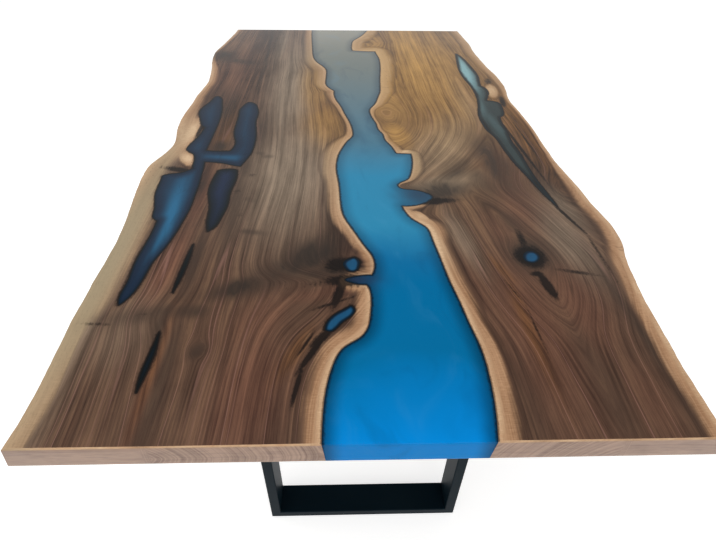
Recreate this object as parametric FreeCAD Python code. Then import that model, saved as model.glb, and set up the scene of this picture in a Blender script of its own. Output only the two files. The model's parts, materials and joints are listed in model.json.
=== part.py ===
"""River table: two walnut slabs joined by a blue resin river, on two flat steel leg frames.

Sizes are in millimetres. +Z is up, +Y runs along the table from its front end to its rear end.
The origin is on the floor under the middle of the table.
"""
import FreeCAD, Part
import math
import os

Vector = FreeCAD.Vector

# Table top
TABLE_HEIGHT = 758.0
TABLE_LENGTH = 2000.0
TOP_WIDTH = 1096.0
TOP_THICKNESS = 45.0
LIVE_EDGE_LEAN = 8.0
RIVER_EDGE_LEAN = 5.0
TOP_ARRIS_RADIUS = 2.5
KNOT_FILL_DEPTH = 30.0
CRACK_FILL_DEPTH = 20.0

# Leg frames, welded up from flat rectangular tube with mitred corners
FRAME_WIDTH = 490.0
FRAME_SETBACK = 234.0
TUBE_DEPTH = 75.0
TUBE_THICKNESS = 25.0
TUBE_WALL = 2.5
TUBE_CORNER_RADIUS = 3.0

# Mounting plate on top of each leg frame
PLATE_END_OVERHANG = 60.0
PLATE_WIDTH = 110.0
PLATE_THICKNESS = 6.0
PLATE_CORNER_RADIUS = 8.0
PLATE_SLOT_WIDTH = 9.0
PLATE_SLOT_LENGTH = 18.0
PLATE_SLOT_END_INSET = 25.0
PLATE_SLOT_SIDE_INSET = 20.0

# Leg bolts, their washers, and the threaded inserts that they screw into
BOLT_RADIUS = 4.0
BOLT_LENGTH = 25.0
BOLT_HEAD_RADIUS = 6.5
BOLT_HEAD_HEIGHT = 8.0
BOLT_SOCKET_ACROSS_FLATS = 6.0
BOLT_SOCKET_DEPTH = 4.0
BOLT_TIP_ROOM = 3.0
WASHER_RADIUS = 10.0
WASHER_THICKNESS = 1.6
WASHER_BORE_RADIUS = 4.3
INSERT_RADIUS = 6.5
INSERT_LENGTH = 20.0
INSERT_FLANGE_RADIUS = 8.5
INSERT_FLANGE_THICKNESS = 1.5

# Steel channels let into the underside to keep the top flat
STIFFENER_LENGTH = 620.0
STIFFENER_WIDTH = 40.0
STIFFENER_HEIGHT = 12.0
STIFFENER_WALL = 3.0
STIFFENER_END_DISTANCE = 500.0
STIFFENER_SIDE_GAP = 0.5
SCREW_PAIRS = 3
INNER_SCREW_DISTANCE = 176.0
SCREW_PITCH = 52.0
SCREW_RADIUS = 2.5
SCREW_LENGTH = 25.0
SCREW_HEAD_RADIUS = 5.0
SCREW_HEAD_HEIGHT = 2.5

# Levelling feet under the ends of each foot bar
FOOT_END_DISTANCE = 40.0
PAD_RADIUS = 15.0
PAD_HEIGHT = 4.2
PAD_EDGE_RADIUS = 1.0
PAD_FLOOR = 1.4
SWIVEL_RADIUS = 5.0
SWIVEL_THICKNESS = 1.2
SWIVEL_CLEARANCE = 0.1
NECK_RADIUS = 3.0
COLLAR_ACROSS_FLATS = 17.0
COLLAR_HEIGHT = 2.4
COLLAR_GAP = 0.3
STEM_RADIUS = 4.0
STEM_LENGTH = 22.0
STEM_CHAMFER = 0.8
THREAD_CLEARANCE = 0.05
NUT_FLANGE_RADIUS = 8.0
NUT_FLANGE_THICKNESS = 0.8
NUT_BODY_RADIUS = 5.5
NUT_BODY_LENGTH = 12.0
NUT_BULGE_RADIUS = 6.8
NUT_BULGE_HEIGHT = 3.0

# How far a cutting tool runs past the face that it cuts
OVERRUN = 10.0

# Heights, lengths and places worked out from the sizes above
PLATE_LENGTH = FRAME_WIDTH + 2 * PLATE_END_OVERHANG
UNDERSIDE_Z = TABLE_HEIGHT - TOP_THICKNESS
PLATE_BOTTOM_Z = UNDERSIDE_Z - PLATE_THICKNESS
BOLT_SEAT_Z = PLATE_BOTTOM_Z - WASHER_THICKNESS
BOLT_TIP_Z = BOLT_SEAT_Z + BOLT_LENGTH
COLLAR_BOTTOM_Z = PAD_HEIGHT + COLLAR_GAP
COLLAR_TOP_Z = COLLAR_BOTTOM_Z + COLLAR_HEIGHT
NUT_BOTTOM_Z = COLLAR_TOP_Z + COLLAR_GAP
BAR_BOTTOM_Z = NUT_BOTTOM_Z + NUT_FLANGE_THICKNESS
BAR_TOP_Z = BAR_BOTTOM_Z + TUBE_THICKNESS
FRAME_CENTRE_Y = TABLE_LENGTH / 2 - FRAME_SETBACK - TUBE_DEPTH / 2
STIFFENER_CENTRE_Y = TABLE_LENGTH / 2 - STIFFENER_END_DISTANCE
FOOT_X = FRAME_WIDTH / 2 - FOOT_END_DISTANCE
ENDS = [("front", -1), ("rear", 1)]
SIDES = [("left", -1), ("right", 1)]

# Outlines of the top, seen from above. Each point is a share of TOP_WIDTH across from the middle
# and a share of TABLE_LENGTH along from the front end. A list of lists is split at sharp corners.
LEFT_LIVE_EDGE_SHARES = [
    (-0.4763, 0), (-0.4735, 0.05), (-0.4745, 0.08), (-0.4772, 0.11), (-0.4790, 0.15), (-0.4772, 0.21),
    (-0.4781, 0.25), (-0.4845, 0.29), (-0.4936, 0.33), (-0.4991, 0.365), (-0.5000, 0.38),
    (-0.4964, 0.4), (-0.4854, 0.42), (-0.4726, 0.44), (-0.4681, 0.455), (-0.4717, 0.478),
    (-0.4799, 0.505), (-0.4845, 0.54), (-0.4808, 0.58), (-0.4772, 0.62), (-0.4708, 0.66),
    (-0.4662, 0.685), (-0.4699, 0.715), (-0.4781, 0.755), (-0.4881, 0.785), (-0.4954, 0.815),
    (-0.4973, 0.845), (-0.4918, 0.87), (-0.4818, 0.9), (-0.4726, 0.935), (-0.4644, 0.97), (-0.4589, 1)
]
RIGHT_LIVE_EDGE_SHARES = [
    (0.4589, 0), (0.4589, 0.04), (0.4608, 0.075), (0.4644, 0.11), (0.4681, 0.145), (0.4763, 0.18),
    (0.4863, 0.21), (0.4964, 0.23), (0.5000, 0.25), (0.4982, 0.273), (0.4918, 0.295), (0.4863, 0.33),
    (0.4790, 0.37), (0.4717, 0.4), (0.4690, 0.435), (0.4681, 0.47), (0.4690, 0.5), (0.4644, 0.54),
    (0.4599, 0.575), (0.4544, 0.6), (0.4544, 0.62), (0.4599, 0.645), (0.4653, 0.675), (0.4644, 0.705),
    (0.4589, 0.733), (0.4498, 0.765), (0.4434, 0.8), (0.4370, 0.84), (0.4352, 0.875), (0.4352, 0.91),
    (0.4307, 0.94), (0.4261, 0.97), (0.4197, 1)
]
RIVER_LEFT_SHARES = [
    [(-0.0739, 0), (-0.0730, 0.03), (-0.0693, 0.05), (-0.0611, 0.07), (-0.0447, 0.089), (-0.0192, 0.1),
     (-0.0073, 0.11), (-0.0018, 0.123), (0.0018, 0.145), (0.0000, 0.16), (-0.0046, 0.167)],
    [(-0.0046, 0.167), (-0.0274, 0.169), (-0.0420, 0.174), (-0.0255, 0.179), (0.0055, 0.1805)],
    [(0.0055, 0.1805), (0.0109, 0.19), (0.0119, 0.2), (0.0082, 0.211), (0.0000, 0.221),
     (-0.0146, 0.24), (-0.0292, 0.26), (-0.0420, 0.278), (-0.0493, 0.3), (-0.0520, 0.33),
     (-0.0557, 0.36), (-0.0602, 0.385), (-0.0593, 0.41), (-0.0529, 0.433), (-0.0438, 0.45),
     (-0.0319, 0.468), (-0.0201, 0.481), (-0.0182, 0.493), (-0.0219, 0.515), (-0.0310, 0.54),
     (-0.0401, 0.56), (-0.0493, 0.585), (-0.0620, 0.608), (-0.0684, 0.625), (-0.0703, 0.65)],
    [(-0.0703, 0.65), (-0.0839, 0.661), (-0.0949, 0.675), (-0.0976, 0.7), (-0.0967, 0.73),
     (-0.0995, 0.753), (-0.1113, 0.77), (-0.1305, 0.79), (-0.1423, 0.81), (-0.1505, 0.845),
     (-0.1560, 0.895), (-0.1615, 0.945), (-0.1651, 1)],
]
RIVER_RIGHT_SHARES = [
    [(0.1542, 0), (0.1615, 0.025), (0.1661, 0.06), (0.1642, 0.09), (0.1569, 0.115), (0.1505, 0.143),
     (0.1423, 0.17), (0.1369, 0.198), (0.1323, 0.22), (0.1277, 0.243), (0.1214, 0.26), (0.1058, 0.27),
     (0.0912, 0.281)],
    [(0.0912, 0.281), (0.0839, 0.292), (0.0803, 0.3015)],
    [(0.0803, 0.3015), (0.1113, 0.303), (0.1369, 0.311), (0.1496, 0.321), (0.1314, 0.333),
     (0.1068, 0.338), (0.0876, 0.3405), (0.0785, 0.347)],
    [(0.0785, 0.347), (0.0839, 0.353), (0.1004, 0.36), (0.1122, 0.374), (0.1186, 0.39), (0.1232, 0.41),
     (0.1232, 0.429)],
    [(0.1232, 0.429), (0.0876, 0.4305)],
    [(0.0876, 0.4305), (0.0830, 0.441), (0.0748, 0.456), (0.0648, 0.47), (0.0602, 0.49),
     (0.0520, 0.501), (0.0474, 0.52), (0.0383, 0.543), (0.0328, 0.563), (0.0338, 0.575),
     (0.0447, 0.589), (0.0547, 0.605), (0.0620, 0.625), (0.0693, 0.643), (0.0730, 0.67),
     (0.0766, 0.71), (0.0821, 0.75), (0.0849, 0.788), (0.0830, 0.82), (0.0776, 0.84), (0.0748, 0.856)],
    [(0.0748, 0.856), (0.0338, 0.857), (-0.0073, 0.861)],
    [(-0.0073, 0.861), (-0.0100, 0.875), (-0.0082, 0.9), (-0.0027, 0.923), (0.0109, 0.938),
     (0.0338, 0.963), (0.0493, 0.987), (0.0566, 1)],
]
BRANCHED_INLAY_SHARES = [
    [(-0.4142, 0.142), (-0.4188, 0.15), (-0.4179, 0.17), (-0.4206, 0.2), (-0.4179, 0.23),
     (-0.4161, 0.26), (-0.4170, 0.274)],
    [(-0.4170, 0.274), (-0.4288, 0.281), (-0.4334, 0.295), (-0.4398, 0.31), (-0.4480, 0.328),
     (-0.4507, 0.35), (-0.4535, 0.371)],
    [(-0.4535, 0.371), (-0.4361, 0.376), (-0.4161, 0.3785), (-0.4015, 0.384), (-0.3923, 0.3895)],
    [(-0.3923, 0.3895), (-0.3960, 0.405), (-0.4005, 0.421), (-0.4124, 0.432), (-0.4270, 0.44),
     (-0.4279, 0.449), (-0.4224, 0.463), (-0.4142, 0.479), (-0.4106, 0.493), (-0.4078, 0.509)],
    [(-0.4078, 0.509), (-0.4179, 0.516), (-0.4270, 0.53), (-0.4380, 0.549), (-0.4434, 0.568),
     (-0.4361, 0.588), (-0.4252, 0.608), (-0.4142, 0.625), (-0.4015, 0.618), (-0.3942, 0.603),
     (-0.3869, 0.58), (-0.3814, 0.555), (-0.3786, 0.525), (-0.3786, 0.49), (-0.3796, 0.46),
     (-0.3805, 0.438)],
    [(-0.3805, 0.438), (-0.3495, 0.4355), (-0.3203, 0.4365)],
    [(-0.3203, 0.4365), (-0.3139, 0.45), (-0.3139, 0.461), (-0.3221, 0.48), (-0.3276, 0.5),
     (-0.3294, 0.53), (-0.3312, 0.555), (-0.3330, 0.573), (-0.3257, 0.59), (-0.3139, 0.601),
     (-0.3011, 0.597), (-0.2883, 0.583), (-0.2801, 0.56), (-0.2801, 0.533), (-0.2737, 0.503),
     (-0.2682, 0.48), (-0.2664, 0.45), (-0.2692, 0.428), (-0.2792, 0.406), (-0.2847, 0.395)],
    [(-0.2847, 0.395), (-0.3011, 0.3975), (-0.3221, 0.4025), (-0.3495, 0.406), (-0.3723, 0.407)],
    [(-0.3723, 0.407), (-0.3695, 0.393), (-0.3668, 0.373), (-0.3641, 0.35), (-0.3631, 0.32),
     (-0.3622, 0.3), (-0.3650, 0.28), (-0.3695, 0.255), (-0.3741, 0.238), (-0.3814, 0.22),
     (-0.3896, 0.203), (-0.3932, 0.183), (-0.3978, 0.163), (-0.4060, 0.149), (-0.4142, 0.142)],
]
DARK_POCKET_SHARES = [
    [(-0.3093, 0.254), (-0.3175, 0.273), (-0.3230, 0.303), (-0.3312, 0.32), (-0.3376, 0.34),
     (-0.3367, 0.365), (-0.3321, 0.384)],
    [(-0.3321, 0.384), (-0.3130, 0.388), (-0.2901, 0.386)],
    [(-0.2901, 0.386), (-0.2856, 0.368), (-0.2865, 0.35), (-0.2892, 0.333), (-0.2865, 0.303),
     (-0.2920, 0.278), (-0.2993, 0.261), (-0.3093, 0.254)],
]
RIVERSIDE_KNOT_SHARES = [
    [(-0.0447, 0.199), (-0.0365, 0.2055), (-0.0228, 0.2075), (-0.0155, 0.202), (-0.0164, 0.194),
     (-0.0219, 0.1875), (-0.0319, 0.1865), (-0.0411, 0.191), (-0.0447, 0.199)],
]
SLANTED_KNOT_SHARES = [
    [(-0.0739, 0.109), (-0.0703, 0.119), (-0.0584, 0.128), (-0.0438, 0.134), (-0.0328, 0.1385)],
    [(-0.0328, 0.1385), (-0.0265, 0.133), (-0.0319, 0.126), (-0.0438, 0.12), (-0.0538, 0.113),
     (-0.0639, 0.1075), (-0.0739, 0.109)],
]
RIGHT_KNOT_SHARES = [
    [(0.2901, 0.205), (0.2947, 0.213), (0.3057, 0.217), (0.3166, 0.215), (0.3212, 0.2085),
     (0.3157, 0.2015), (0.3038, 0.198), (0.2938, 0.1995), (0.2901, 0.205)],
]
FRONT_CRACK_SHARES = [
    [(-0.3330, 0.046), (-0.3367, 0.065), (-0.3349, 0.085), (-0.3321, 0.108)],
    [(-0.3321, 0.108), (-0.3276, 0.086), (-0.3294, 0.065), (-0.3330, 0.046)],
]
MIDDLE_CRACK_SHARES = [
    [(-0.3339, 0.158), (-0.3339, 0.18), (-0.3321, 0.205), (-0.3285, 0.231)],
    [(-0.3285, 0.231), (-0.3266, 0.205), (-0.3285, 0.18), (-0.3339, 0.158)],
]
EDGE_CHANNEL_SHARES = [
    [(0.4097, 0.3), (0.3996, 0.318), (0.3887, 0.345), (0.3786, 0.375), (0.3686, 0.4), (0.3622, 0.425),
     (0.3577, 0.453), (0.3522, 0.48), (0.3412, 0.5), (0.3367, 0.525), (0.3376, 0.55), (0.3449, 0.575),
     (0.3540, 0.6), (0.3595, 0.625), (0.3604, 0.65), (0.3577, 0.675), (0.3504, 0.705), (0.3467, 0.74),
     (0.3495, 0.775), (0.3568, 0.81), (0.3650, 0.845)],
    [(0.3650, 0.845), (0.3796, 0.82), (0.3887, 0.785), (0.3960, 0.75), (0.3978, 0.72), (0.3923, 0.695),
     (0.3887, 0.675)],
    [(0.3887, 0.675), (0.3996, 0.663), (0.4024, 0.65), (0.3978, 0.637), (0.3887, 0.623),
     (0.3832, 0.611)],
    [(0.3832, 0.611), (0.4015, 0.608), (0.4142, 0.602), (0.4161, 0.585), (0.4124, 0.565),
     (0.4051, 0.553), (0.3942, 0.5475)],
    [(0.3942, 0.5475), (0.3905, 0.52), (0.3914, 0.495), (0.3887, 0.47), (0.3923, 0.44),
     (0.3942, 0.415), (0.3951, 0.39), (0.3978, 0.36), (0.4042, 0.33), (0.4097, 0.3)],
]


def place(share, height, shift):
    """Turn a pair of outline shares into a point at a height, moved sideways by a shift."""
    across_share, along_share = share
    across = across_share * TOP_WIDTH + shift
    along = (along_share - 0.5) * TABLE_LENGTH
    return Vector(across, along, height)


def stretch_edge(points):
    """Join two points by a line, or more by one smooth curve."""
    if len(points) == 2:
        return Part.makeLine(points[0], points[1])
    curve = Part.BSplineCurve()
    curve.interpolate(points)
    return curve.toShape()


def outline_edges(stretches, height, shift):
    """Make the edges of an outline whose stretches meet at sharp corners."""
    edges = []
    for stretch in stretches:
        edges.append(stretch_edge([place(share, height, shift) for share in stretch]))
    return edges


def backwards(stretches):
    """Run an outline the other way."""
    return [list(reversed(stretch)) for stretch in reversed(stretches)]


def strip_wire(left, right, height, widening, end_overrun):
    """Close a wire round the strip between two outlines, from end to end of the table."""
    run = Vector(0, end_overrun, 0)
    front_left = place(left[0][0], height, -widening)
    rear_left = place(left[-1][-1], height, -widening)
    front_right = place(right[0][0], height, widening)
    rear_right = place(right[-1][-1], height, widening)
    rear_corners = [rear_left, rear_right]
    front_corners = [front_right, front_left]
    if end_overrun > 0:
        rear_corners = [rear_left, rear_left + run, rear_right + run, rear_right]
        front_corners = [front_right, front_right - run, front_left - run, front_left]
    edges = outline_edges(left, height, -widening)
    edges.extend(Part.makePolygon(rear_corners).Edges)
    edges.extend(outline_edges(backwards(right), height, widening))
    edges.extend(Part.makePolygon(front_corners).Edges)
    return Part.Wire(edges)


def prism(stretches, bottom, top):
    """Raise a closed outline of the top from one height to another."""
    wire = Part.Wire(outline_edges(stretches, bottom, 0))
    return Part.Face(wire).extrude(Vector(0, 0, top - bottom))


def box(low, high):
    """A box between two corners."""
    size = high - low
    return Part.makeBox(size.x, size.y, size.z, low)


def rounded_box(low, high, direction, radius):
    """A box between two corners whose edges along one direction are rounded."""
    plain = box(low, high)
    edges = [edge for edge in plain.Edges if abs(edge.tangentAt(0).dot(direction)) > 0.5]
    return plain.makeFillet(radius, edges)


def rod(radius, bottom, top, x, y):
    """An upright round bar between two heights."""
    return Part.makeCylinder(radius, top - bottom, Vector(x, y, bottom))


def hexagon(across_flats, bottom, top, x, y):
    """An upright hexagonal bar between two heights."""
    corner_radius = across_flats / 2 / math.cos(math.pi / 6)
    corners = []
    for corner in range(7):
        angle = math.pi / 3 * corner
        offset = Vector(math.cos(angle), math.sin(angle), 0) * corner_radius
        corners.append(Vector(x, y, bottom) + offset)
    return Part.Face(Part.makePolygon(corners)).extrude(Vector(0, 0, top - bottom))


def fused(solids):
    """Join solids that touch into one clean solid."""
    return solids[0].fuse(solids[1:]).removeSplitter()


def export(name, solids):
    """Write one piece, or one group of like pieces, to its own file."""
    shape = solids[0] if len(solids) == 1 else Part.makeCompound(solids)
    shape.exportStep(os.path.join("parts", name + ".step"))
    state = "valid" if shape.isValid() else "NOT VALID"
    print(name, len(shape.Solids), "solids", round(shape.Volume), "cubic mm", state)


def top_blank():
    """The whole table top before it is divided: leaning live edges, and eased arrises all round."""
    left = [LEFT_LIVE_EDGE_SHARES]
    right = [RIGHT_LIVE_EDGE_SHARES]
    low = strip_wire(left, right, UNDERSIDE_Z, LIVE_EDGE_LEAN, 0)
    high = strip_wire(left, right, TABLE_HEIGHT, 0, 0)
    blank = Part.makeLoft([low, high], True, True)
    level_edges = [edge for edge in blank.Edges if edge.BoundBox.ZLength < TOP_ARRIS_RADIUS]
    return blank.makeFillet(TOP_ARRIS_RADIUS, level_edges)


def river_cutter():
    """The river's space: it narrows downwards, and runs a thickness past each face of the top."""
    left = RIVER_LEFT_SHARES
    right = RIVER_RIGHT_SHARES
    low = strip_wire(left, right, UNDERSIDE_Z - TOP_THICKNESS, -2 * RIVER_EDGE_LEAN, OVERRUN)
    high = strip_wire(left, right, TABLE_HEIGHT + TOP_THICKNESS, RIVER_EDGE_LEAN, OVERRUN)
    return Part.makeLoft([low, high], True, True)


def slot_places(side):
    """Centres of the four slots of the mounting plate at one end."""
    x = PLATE_LENGTH / 2 - PLATE_SLOT_END_INSET
    y = PLATE_WIDTH / 2 - PLATE_SLOT_SIDE_INSET
    centre_y = side * FRAME_CENTRE_Y
    return [(-x, centre_y - y), (x, centre_y - y), (-x, centre_y + y), (x, centre_y + y)]


def screw_places(side):
    """Centres of one stiffener's screws, in pairs either side of the middle."""
    places = []
    for pair in range(SCREW_PAIRS):
        x = INNER_SCREW_DISTANCE + pair * SCREW_PITCH
        places.append((-x, side * STIFFENER_CENTRE_Y))
        places.append((x, side * STIFFENER_CENTRE_Y))
    return places


def stiffener_channel(side, gap):
    """A channel with its web flush with the underside and its flanges up in the wood."""
    y = side * STIFFENER_CENTRE_Y
    half_length = STIFFENER_LENGTH / 2 + gap
    half_width = STIFFENER_WIDTH / 2 + gap
    inner_half_width = STIFFENER_WIDTH / 2 - STIFFENER_WALL - gap
    web_top = UNDERSIDE_Z + STIFFENER_WALL
    flange_top = UNDERSIDE_Z + STIFFENER_HEIGHT
    whole = box(Vector(-half_length, y - half_width, UNDERSIDE_Z),
                Vector(half_length, y + half_width, flange_top))
    between = box(Vector(-half_length - OVERRUN, y - inner_half_width, web_top),
                  Vector(half_length + OVERRUN, y + inner_half_width, flange_top + OVERRUN))
    return whole.cut(between)


def countersunk_screw(x, y):
    """A wood screw whose head lies flush with the underside."""
    head = Part.makeCone(SCREW_HEAD_RADIUS, SCREW_RADIUS, SCREW_HEAD_HEIGHT, Vector(x, y, UNDERSIDE_Z))
    shank = rod(SCREW_RADIUS, UNDERSIDE_Z, UNDERSIDE_Z + SCREW_LENGTH, x, y)
    return fused([head, shank])


def threaded_insert(x, y):
    """A flanged insert in the wood, with a bore for the leg bolt."""
    body = rod(INSERT_RADIUS, UNDERSIDE_Z, UNDERSIDE_Z + INSERT_LENGTH, x, y)
    flange = rod(INSERT_FLANGE_RADIUS, UNDERSIDE_Z, UNDERSIDE_Z + INSERT_FLANGE_THICKNESS, x, y)
    return fused([body, flange])


def underside_cuts():
    """Everything that is cut up into the underside: grooves, screw holes and insert holes."""
    cuts = []
    for end, side in ENDS:
        cuts.append(stiffener_channel(side, STIFFENER_SIDE_GAP))
        for x, y in screw_places(side):
            cuts.append(countersunk_screw(x, y))
        for x, y in slot_places(side):
            cuts.append(threaded_insert(x, y))
            cuts.append(rod(BOLT_RADIUS, UNDERSIDE_Z, BOLT_TIP_Z + BOLT_TIP_ROOM, x, y))
    return cuts


def fill_pockets(slab, fills):
    """Cut each pocket out of a slab, write the resin that fills it, and return the slab."""
    for name, outline, pocket_floor in fills:
        pocket = prism(outline, pocket_floor, TABLE_HEIGHT + OVERRUN)
        export(name, slab.common(pocket).Solids)
        slab = slab.cut(pocket)
    return slab


def make_top():
    """Divide the blank into two slabs, the river, and the resin in knots, cracks and channels."""
    blank = top_blank().cut(underside_cuts())
    river_space = river_cutter()
    export("river_resin", blank.common(river_space).Solids)
    wood = sorted(blank.cut(river_space).Solids, key=lambda solid: solid.CenterOfMass.x)
    right_through = UNDERSIDE_Z - OVERRUN
    knot_floor = TABLE_HEIGHT - KNOT_FILL_DEPTH
    crack_floor = TABLE_HEIGHT - CRACK_FILL_DEPTH
    left_slab = fill_pockets(wood[0], [
        ("branched_inlay", BRANCHED_INLAY_SHARES, right_through),
        ("dark_pocket_inlay", DARK_POCKET_SHARES, right_through),
        ("riverside_knot_inlay", RIVERSIDE_KNOT_SHARES, knot_floor),
        ("slanted_knot_inlay", SLANTED_KNOT_SHARES, knot_floor),
        ("front_crack_fill", FRONT_CRACK_SHARES, crack_floor),
        ("middle_crack_fill", MIDDLE_CRACK_SHARES, crack_floor),
    ])
    right_slab = fill_pockets(wood[-1], [
        ("edge_channel_inlay", EDGE_CHANNEL_SHARES, right_through),
        ("right_knot_inlay", RIGHT_KNOT_SHARES, knot_floor),
    ])
    export("left_slab", [left_slab])
    export("right_slab", [right_slab])


def make_stiffener(end, side):
    """One steel channel and its screws."""
    screws = [countersunk_screw(x, y) for x, y in screw_places(side)]
    export(end + "_stiffener", [stiffener_channel(side, 0).cut(screws)])
    export(end + "_stiffener_screws", screws)


def hollow_tube(low, high, direction):
    """A rectangular tube between two corners of its outside, open at both ends."""
    wall = Vector(TUBE_WALL, TUBE_WALL, TUBE_WALL)
    past_ends = direction * (TUBE_WALL + OVERRUN)
    outside = rounded_box(low, high, direction, TUBE_CORNER_RADIUS)
    inner_radius = TUBE_CORNER_RADIUS - TUBE_WALL
    inside = rounded_box(low + wall - past_ends, high - wall + past_ends, direction, inner_radius)
    return outside.cut(inside)


def mitre_block(corners, y):
    """The space that a mitred tube may fill: an outline in the plane of the frame, given depth."""
    points = [Vector(x, y - TUBE_DEPTH, z) for x, z in corners + corners[:1]]
    return Part.Face(Part.makePolygon(points)).extrude(Vector(0, 2 * TUBE_DEPTH, 0))


def make_foot_bar(end, y):
    """The tube along the floor, mitred at both ends, with holes for the levelling feet."""
    outer_x = FRAME_WIDTH / 2
    inner_x = outer_x - TUBE_THICKNESS
    tube = hollow_tube(Vector(-outer_x, y - TUBE_DEPTH / 2, BAR_BOTTOM_Z),
                       Vector(outer_x, y + TUBE_DEPTH / 2, BAR_TOP_Z), Vector(1, 0, 0))
    mitred = tube.common(mitre_block([(-outer_x, BAR_BOTTOM_Z), (outer_x, BAR_BOTTOM_Z),
                                      (inner_x, BAR_TOP_Z), (-inner_x, BAR_TOP_Z)], y))
    holes = []
    for name, side in SIDES:
        holes.append(rod(NUT_BODY_RADIUS, NUT_BOTTOM_Z, BAR_BOTTOM_Z + TUBE_WALL, side * FOOT_X, y))
    export(end + "_foot_bar", [mitred.cut(holes)])


def make_post(end, name, side, y):
    """An upright tube, mitred where it meets the foot bar and square under the plate."""
    outer_x = FRAME_WIDTH / 2
    inner_x = outer_x - TUBE_THICKNESS
    low_x, high_x = sorted([side * inner_x, side * outer_x])
    tube = hollow_tube(Vector(low_x, y - TUBE_DEPTH / 2, BAR_BOTTOM_Z),
                       Vector(high_x, y + TUBE_DEPTH / 2, PLATE_BOTTOM_Z), Vector(0, 0, 1))
    mitred = tube.common(mitre_block([(side * outer_x, BAR_BOTTOM_Z), (side * outer_x, PLATE_BOTTOM_Z),
                                      (side * inner_x, PLATE_BOTTOM_Z), (side * inner_x, BAR_TOP_Z)], y))
    export(end + "_" + name + "_post", [mitred])


def slot(x, y, bottom, top):
    """A round-ended slot that runs across the table."""
    half_run = (PLATE_SLOT_LENGTH - PLATE_SLOT_WIDTH) / 2
    radius = PLATE_SLOT_WIDTH / 2
    middle = box(Vector(x - half_run, y - radius, bottom), Vector(x + half_run, y + radius, top))
    left_end = rod(radius, bottom, top, x - half_run, y)
    right_end = rod(radius, bottom, top, x + half_run, y)
    return fused([middle, left_end, right_end])


def make_plate(end, side):
    """The plate that joins a leg frame to the underside of the top."""
    y = side * FRAME_CENTRE_Y
    low = Vector(-PLATE_LENGTH / 2, y - PLATE_WIDTH / 2, PLATE_BOTTOM_Z)
    high = Vector(PLATE_LENGTH / 2, y + PLATE_WIDTH / 2, UNDERSIDE_Z)
    plate = rounded_box(low, high, Vector(0, 0, 1), PLATE_CORNER_RADIUS)
    slots = []
    for x, slot_y in slot_places(side):
        slots.append(slot(x, slot_y, PLATE_BOTTOM_Z - OVERRUN, UNDERSIDE_Z + OVERRUN))
    export(end + "_mounting_plate", [plate.cut(slots)])


def leg_bolt(x, y):
    """A socket head bolt, put in from below."""
    head = rod(BOLT_HEAD_RADIUS, BOLT_SEAT_Z - BOLT_HEAD_HEIGHT, BOLT_SEAT_Z, x, y)
    shank = rod(BOLT_RADIUS, BOLT_SEAT_Z, BOLT_TIP_Z, x, y)
    head_bottom = BOLT_SEAT_Z - BOLT_HEAD_HEIGHT
    socket = hexagon(BOLT_SOCKET_ACROSS_FLATS, head_bottom, head_bottom + BOLT_SOCKET_DEPTH, x, y)
    return fused([head, shank]).cut(socket)


def washer(x, y):
    """A plain washer under a bolt's head."""
    disc = rod(WASHER_RADIUS, BOLT_SEAT_Z, PLATE_BOTTOM_Z, x, y)
    return disc.cut(rod(WASHER_BORE_RADIUS, BOLT_SEAT_Z, PLATE_BOTTOM_Z, x, y))


def make_leg_fasteners(end, side):
    """The bolts, washers and threaded inserts that hold one leg frame."""
    places = slot_places(side)
    bolts = [leg_bolt(x, y) for x, y in places]
    export(end + "_leg_bolts", bolts)
    export(end + "_leg_washers", [washer(x, y) for x, y in places])
    export(end + "_leg_inserts", [threaded_insert(x, y).cut(bolts) for x, y in places])


def rivet_nut(x, y):
    """A nut set in the foot bar's lower wall, with its flange outside and its bulge inside."""
    flange = rod(NUT_FLANGE_RADIUS, NUT_BOTTOM_Z, BAR_BOTTOM_Z, x, y)
    body = rod(NUT_BODY_RADIUS, BAR_BOTTOM_Z, BAR_BOTTOM_Z + NUT_BODY_LENGTH, x, y)
    wall_top = BAR_BOTTOM_Z + TUBE_WALL
    bulge = rod(NUT_BULGE_RADIUS, wall_top, wall_top + NUT_BULGE_HEIGHT, x, y)
    bore = rod(STEM_RADIUS + THREAD_CLEARANCE, NUT_BOTTOM_Z, BAR_BOTTOM_Z + NUT_BODY_LENGTH, x, y)
    return fused([flange, body, bulge]).cut(bore)


def foot_pad(x, y):
    """A round pad with an undercut socket that the stem's swivel disc turns in."""
    disc = rod(PAD_RADIUS, 0, PAD_HEIGHT, x, y)
    rims = [edge for edge in disc.Edges if edge.Closed]
    eased = disc.makeFillet(PAD_EDGE_RADIUS, rims)
    socket_top = PAD_FLOOR + SWIVEL_THICKNESS + 2 * SWIVEL_CLEARANCE
    socket = rod(SWIVEL_RADIUS + SWIVEL_CLEARANCE, PAD_FLOOR, socket_top, x, y)
    throat = rod(NECK_RADIUS + SWIVEL_CLEARANCE, PAD_FLOOR, PAD_HEIGHT, x, y)
    return eased.cut(fused([socket, throat]))


def foot_stem(x, y):
    """The screw of a levelling foot: swivel disc, neck, hexagonal collar and shank."""
    disc_bottom = PAD_FLOOR + SWIVEL_CLEARANCE
    disc = rod(SWIVEL_RADIUS, disc_bottom, disc_bottom + SWIVEL_THICKNESS, x, y)
    neck = rod(NECK_RADIUS, disc_bottom, COLLAR_BOTTOM_Z, x, y)
    collar = hexagon(COLLAR_ACROSS_FLATS, COLLAR_BOTTOM_Z, COLLAR_TOP_Z, x, y)
    shank_top = COLLAR_TOP_Z + STEM_LENGTH
    shank = rod(STEM_RADIUS, COLLAR_TOP_Z, shank_top - STEM_CHAMFER, x, y)
    tip = Part.makeCone(STEM_RADIUS, STEM_RADIUS - STEM_CHAMFER, STEM_CHAMFER,
                        Vector(x, y, shank_top - STEM_CHAMFER))
    return fused([disc, neck, collar, shank, tip])


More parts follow.
